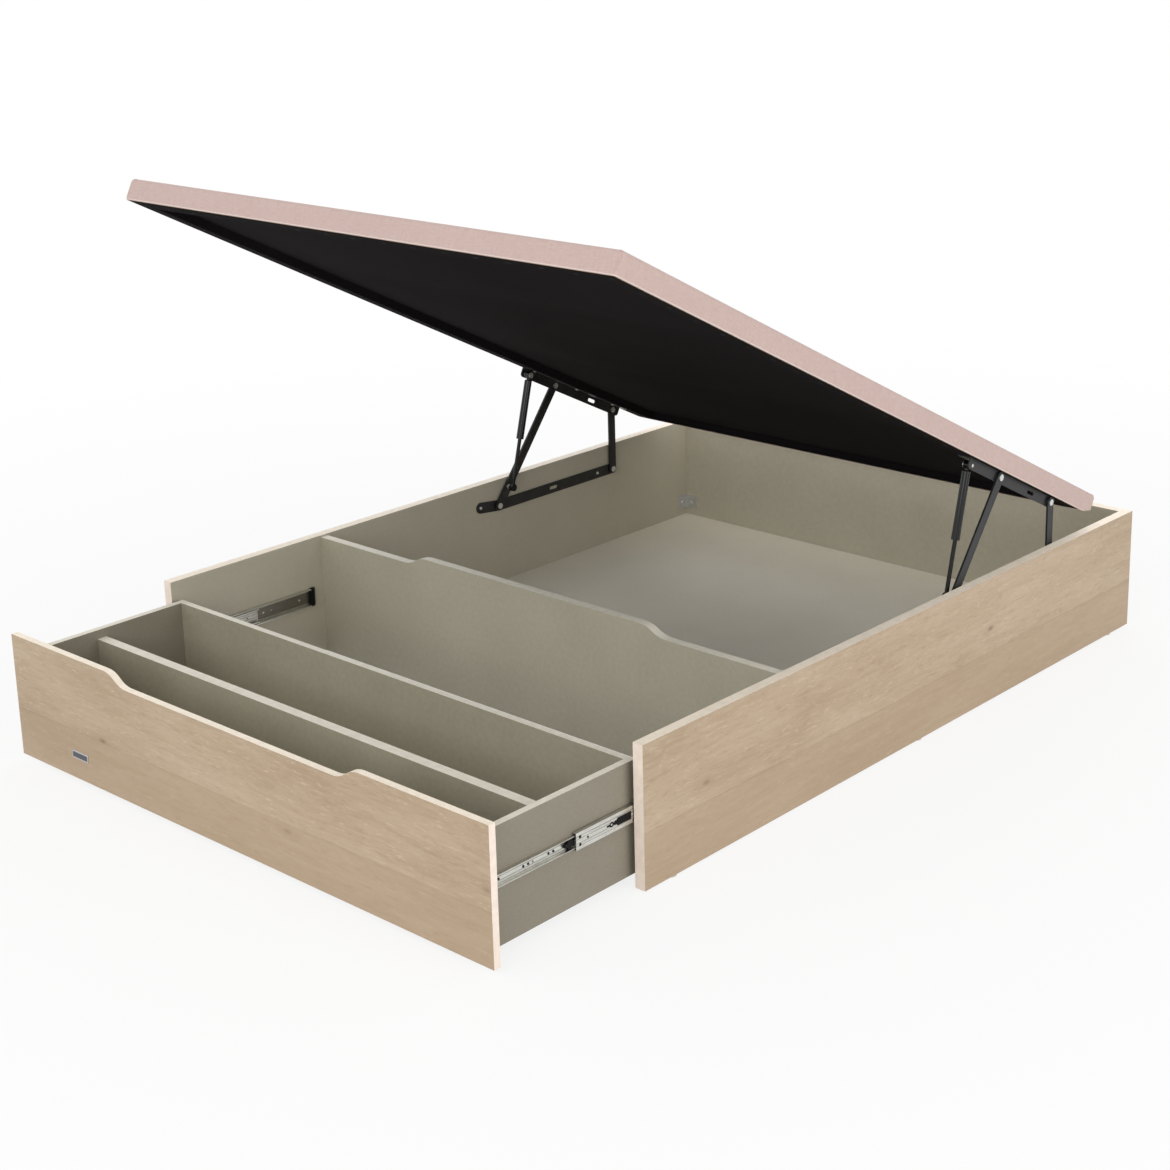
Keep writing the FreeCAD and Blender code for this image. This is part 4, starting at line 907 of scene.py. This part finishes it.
def cornerPath(side, end, steps=10):
    # up the corner's middle and over its rounded top, with the outward direction at each point
    r, h = cover["round"], lid["thick"]
    inner = Vector((side * (lid["half"] - r), -r if end == "head" else -lid["length"] + r, 0))
    out = Vector((side, 1 if end == "head" else -1, 0)).normalized()
    low = (lid["bevelRise"] if end == "head" else 0) + seam["start"]
    path = [(inner + out * r + Vector((0, 0, low + (h - r - low) * k / steps)), out) for k in range(steps)]
    for k in range(steps + 1):
        a = math.radians(seam["over"]) * k / steps
        lean = out * math.cos(a) + Vector((0, 0, math.sin(a)))
        path.append((inner + Vector((0, 0, h - r)) + lean * r, lean))
    return [(coverSurface.find_nearest(point)[0], out) for point, out in path]


def foldAlong(bm, path):
    wide, rise, part = seam["width"], seam["rise"], seam["shoulder"]
    section = [(-wide, -seam["sunk"]), (-wide * part, rise * part), (0, rise), (wide * part, rise * part),
               (wide, -seam["sunk"])]
    rings = []
    for k, (point, out) in enumerate(path):
        ahead = (path[min(k + 1, len(path) - 1)][0] - path[max(k - 1, 0)][0]).normalized()
        across = ahead.cross(out).normalized()
        rings.append([bm.verts.new(point + across * a + out * b) for a, b in section])
    for first, second in zip(rings, rings[1:]):
        joinRings(bm, first, second)
    bm.faces.new(rings[0])
    bm.faces.new(list(reversed(rings[-1])))


def stitchesAlong(path):
    turned = lidPlace.to_3x3()
    spots, travelled = [], 0.0
    for k in range(1, len(path)):
        step = path[k][0] - path[k - 1][0]
        travelled += step.length
        if travelled >= seam["step"]:
            travelled -= seam["step"]
            point, out = path[k]
            heading = step.normalized()
            across = heading.cross(out).normalized()
            for way in (-1, 1):
                spot = point + across * way * seam["aside"] + out * seam["lift"]
                spots.append((lidPlace @ spot, turned @ out, turned @ heading))
    return spots


cornerPaths = [cornerPath(side, end) for side in (-1, 1) for end in ("head", "foot")]


def cornerSeams(bm):
    for path in cornerPaths:
        foldAlong(bm, path)
    bmesh.ops.recalc_face_normals(bm, faces=bm.faces)


stitches = [spot for path in cornerPaths for spot in stitchesAlong(path)]
foldMesh = meshFrom("cornerSeams", cornerSeams)
mapWeave(foldMesh)
foldMesh.transform(lidPlace)
softened(foldMesh, 60)
newPiece("cornerSeams", foldMesh, "cover", "lid")
row("cornerStitches", threadTree, stitches, seam["thread"], "thread", "lid")
print("corner stitches:", len(stitches))


# thin black catch on the face of each middle slide: a tail, an eye and a block

catch = {"tail": ((0.0840, 0.0016), (0.0910, 0.0022)), "eye": (0.0975, 0.0055, 0.0024),
         "neck": ((0.1060, 0.0024), (0.1110, 0.0030)),
         "block": ((0.1135, 0.0072), (0.1150, 0.0082), (0.1530, 0.0082)), "thick": 0.00035}


def slideCatches(bm):
    centre, outer, hole = catch["eye"]
    turns = [math.radians(a) for a in range(150, 29, -20)]
    upper = list(catch["tail"]) + [(centre + outer * math.cos(a), outer * math.sin(a)) for a in turns]
    upper += list(catch["neck"]) + list(catch["block"])
    rim = upper + [(along, -rise) for along, rise in reversed(upper)]
    bore = [(centre + hole * math.cos(math.radians(a)), hole * math.sin(math.radians(a)))
            for a in range(0, 360, 24)]
    for sideName, side in (("left", -1), ("right", 1)):
        low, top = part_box("slide_middle_" + sideName)
        face, level = side * max(abs(low.x), abs(top.x)), (low.z + top.z) / 2
        edges = []
        for outline in (rim, bore):
            ring = [bm.verts.new((face, low.y + along, level + rise)) for along, rise in outline]
            edges += [bm.edges.new((first, second)) for first, second in zip(ring, ring[1:] + ring[:1])]
        filled = bmesh.ops.triangle_fill(bm, edges=edges, use_beauty=True)["geom"]
        faces = [g for g in filled if isinstance(g, bmesh.types.BMFace)]
        lifted = bmesh.ops.extrude_face_region(bm, geom=faces, use_keep_orig=True)["geom"]
        for vert in (g for g in lifted if isinstance(g, bmesh.types.BMVert)):
            vert.co.x += side * catch["thick"]
    bmesh.ops.recalc_face_normals(bm, faces=bm.faces)


newPiece("slideCatches", meshFrom("slideCatches", slideCatches), "plastic", "slide_middles")
print("slide catches on")


# bare metal plate on the drawer front

def badgePlate(bm):
    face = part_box("drawer_front")[0].y

    def outline(inset, depth):
        r = max(badge["round"] - inset, badge["least"])
        w, t = badge["wide"] / 2 - inset - r, badge["tall"] / 2 - inset - r
        ring = []
        for turn, (cx, cz) in enumerate(((w, t), (-w, t), (-w, -t), (w, -t))):
            for k in range(7):
                a = math.radians(90 * turn + 15 * k)
                ring.append(bm.verts.new((badge["centre"][0] + cx + r * math.cos(a), face - depth,
                                          badge["centre"][1] + cz + r * math.sin(a))))
        return ring

    thick, rim = badge["thick"], badge["rim"]
    rings = [outline(0, 0), outline(0, thick * 0.6), outline(thick * 0.3, thick), outline(rim, thick),
             outline(rim + badge["step"], thick * 0.65)]
    for first, second in zip(rings, rings[1:]):
        joinRings(bm, first, second)
    bm.faces.new(rings[0])
    bm.faces.new(rings[-1])
    bmesh.ops.recalc_face_normals(bm, faces=bm.faces)


plateMesh = meshFrom("badgePlate", badgePlate)
softened(plateMesh, 30)
newPiece("badgePlate", plateMesh, "plate", "drawer")
print("badge plate on")


# floor, light and camera

stage = {"floor": 60.0, "near": (1.6, 0.82), "far": (4.0, 1.0), "world": 0.70, "aim": (0, -0.1, 0.3),
         "lamps": (("front", (1.8, -5.9, 3.0), 3.0, 105.0), ("side", (6.2, 0.2, 1.5), 2.5, 90.0),
                   ("left", (-5.0, -4.5, 4.0), 4.0, 34.0), ("top", (0.0, -1.0, 6.0), 5.0, 25.0),
                   ("back", (-4.0, 5.5, 3.5), 5.0, 100.0))}


def seenDirectly(tree):
    # 1 for rays that come from the camera, by way of mirrors and glass too
    rays = put(tree, "ShaderNodeLightPath").outputs
    other = sums(tree, "MAXIMUM", rays["Is Glossy Ray"], rays["Is Transmission Ray"])
    return sums(tree, "MAXIMUM", rays["Is Camera Ray"], other)


floorMesh = bpy.data.meshes.new("floor")
half = stage["floor"]
floorCorners = [(-half, -half, 0), (half, -half, 0), (half, half, 0), (-half, half, 0)]
floorMesh.from_pydata(floorCorners, [], [(0, 1, 2, 3)])
floor = looseObject("floor", floorMesh)
paper, tree, shader = newFinish("floorPaper", Roughness=0.9, Base_Color=(0.86, 0.86, 0.86, 1),
                                Specular_IOR_Level=0.1)
seen = seenDirectly(tree)
glow = put(tree, "ShaderNodeEmission", {"Color": (1, 1, 1, 1), "Strength": 1.0})
# plain white further out, and the shadow kept near the piece
reach = put(tree, "ShaderNodeVectorMath", {0: coords(tree)}, operation="LENGTH").outputs["Value"]
white = span(tree, reach, stage["near"][0], stage["far"][0], stage["near"][1], stage["far"][1])
joinShaders = put(tree, "ShaderNodeMixShader", {0: sums(tree, "MULTIPLY", seen, white), 1: shader.outputs[0],
                                                2: glow.outputs[0]})
tree.links.new(joinShaders.outputs[0], tree.nodes["Material Output"].inputs["Surface"])
floorMesh.materials.append(paper)

world = bpy.data.worlds.new("studio")
scene.world = world
world.use_nodes = True
tree = world.node_tree
sky = tree.nodes["Background"]
sky.inputs["Color"].default_value = (1, 1, 1, 1)
tree.links.new(span(tree, seenDirectly(tree), 0, 1, stage["world"], 1.0), sky.inputs["Strength"])

for name, place, size, power in stage["lamps"]:
    lamp = bpy.data.lights.new(name, "AREA")
    lamp.energy = power
    lamp.size = size
    item = bpy.data.objects.new(name, lamp)
    scene.collection.objects.link(item)
    item.location = place
    item.rotation_euler = (Vector(stage["aim"]) - Vector(place)).to_track_quat("-Z", "Y").to_euler()

shot = {"frame": 1170.0, "focal": 2087.8, "centre": (674.0, 450.0), "azimuth": 40.94, "elevation": 15.83,
        "roll": -0.77, "place": (3.192, -3.450, 1.925), "sensor": 36.0}
lens = bpy.data.cameras.new("shot")
lens.sensor_width = shot["sensor"]
lens.lens = shot["focal"] / shot["frame"] * shot["sensor"]
lens.shift_x = (shot["frame"] / 2 - shot["centre"][0]) / shot["frame"]
lens.shift_y = (shot["centre"][1] - shot["frame"] / 2) / shot["frame"]
camera = bpy.data.objects.new("shot", lens)
scene.collection.objects.link(camera)
turn, lift, roll = (math.radians(shot[key]) for key in ("azimuth", "elevation", "roll"))
back = Vector((math.sin(turn) * math.cos(lift), -math.cos(turn) * math.cos(lift), math.sin(lift)))
right = (-back).cross(Vector((0, 0, 1))).normalized()
upward = right.cross(-back)
columns = (right * math.cos(roll) + upward * math.sin(roll),
           upward * math.cos(roll) - right * math.sin(roll), back)
camera.matrix_world = Matrix.Translation(shot["place"]) @ Matrix(columns).transposed().to_4x4()
scene.camera = camera
scene.view_settings.view_transform = "Standard"
print("floor, light and camera set")
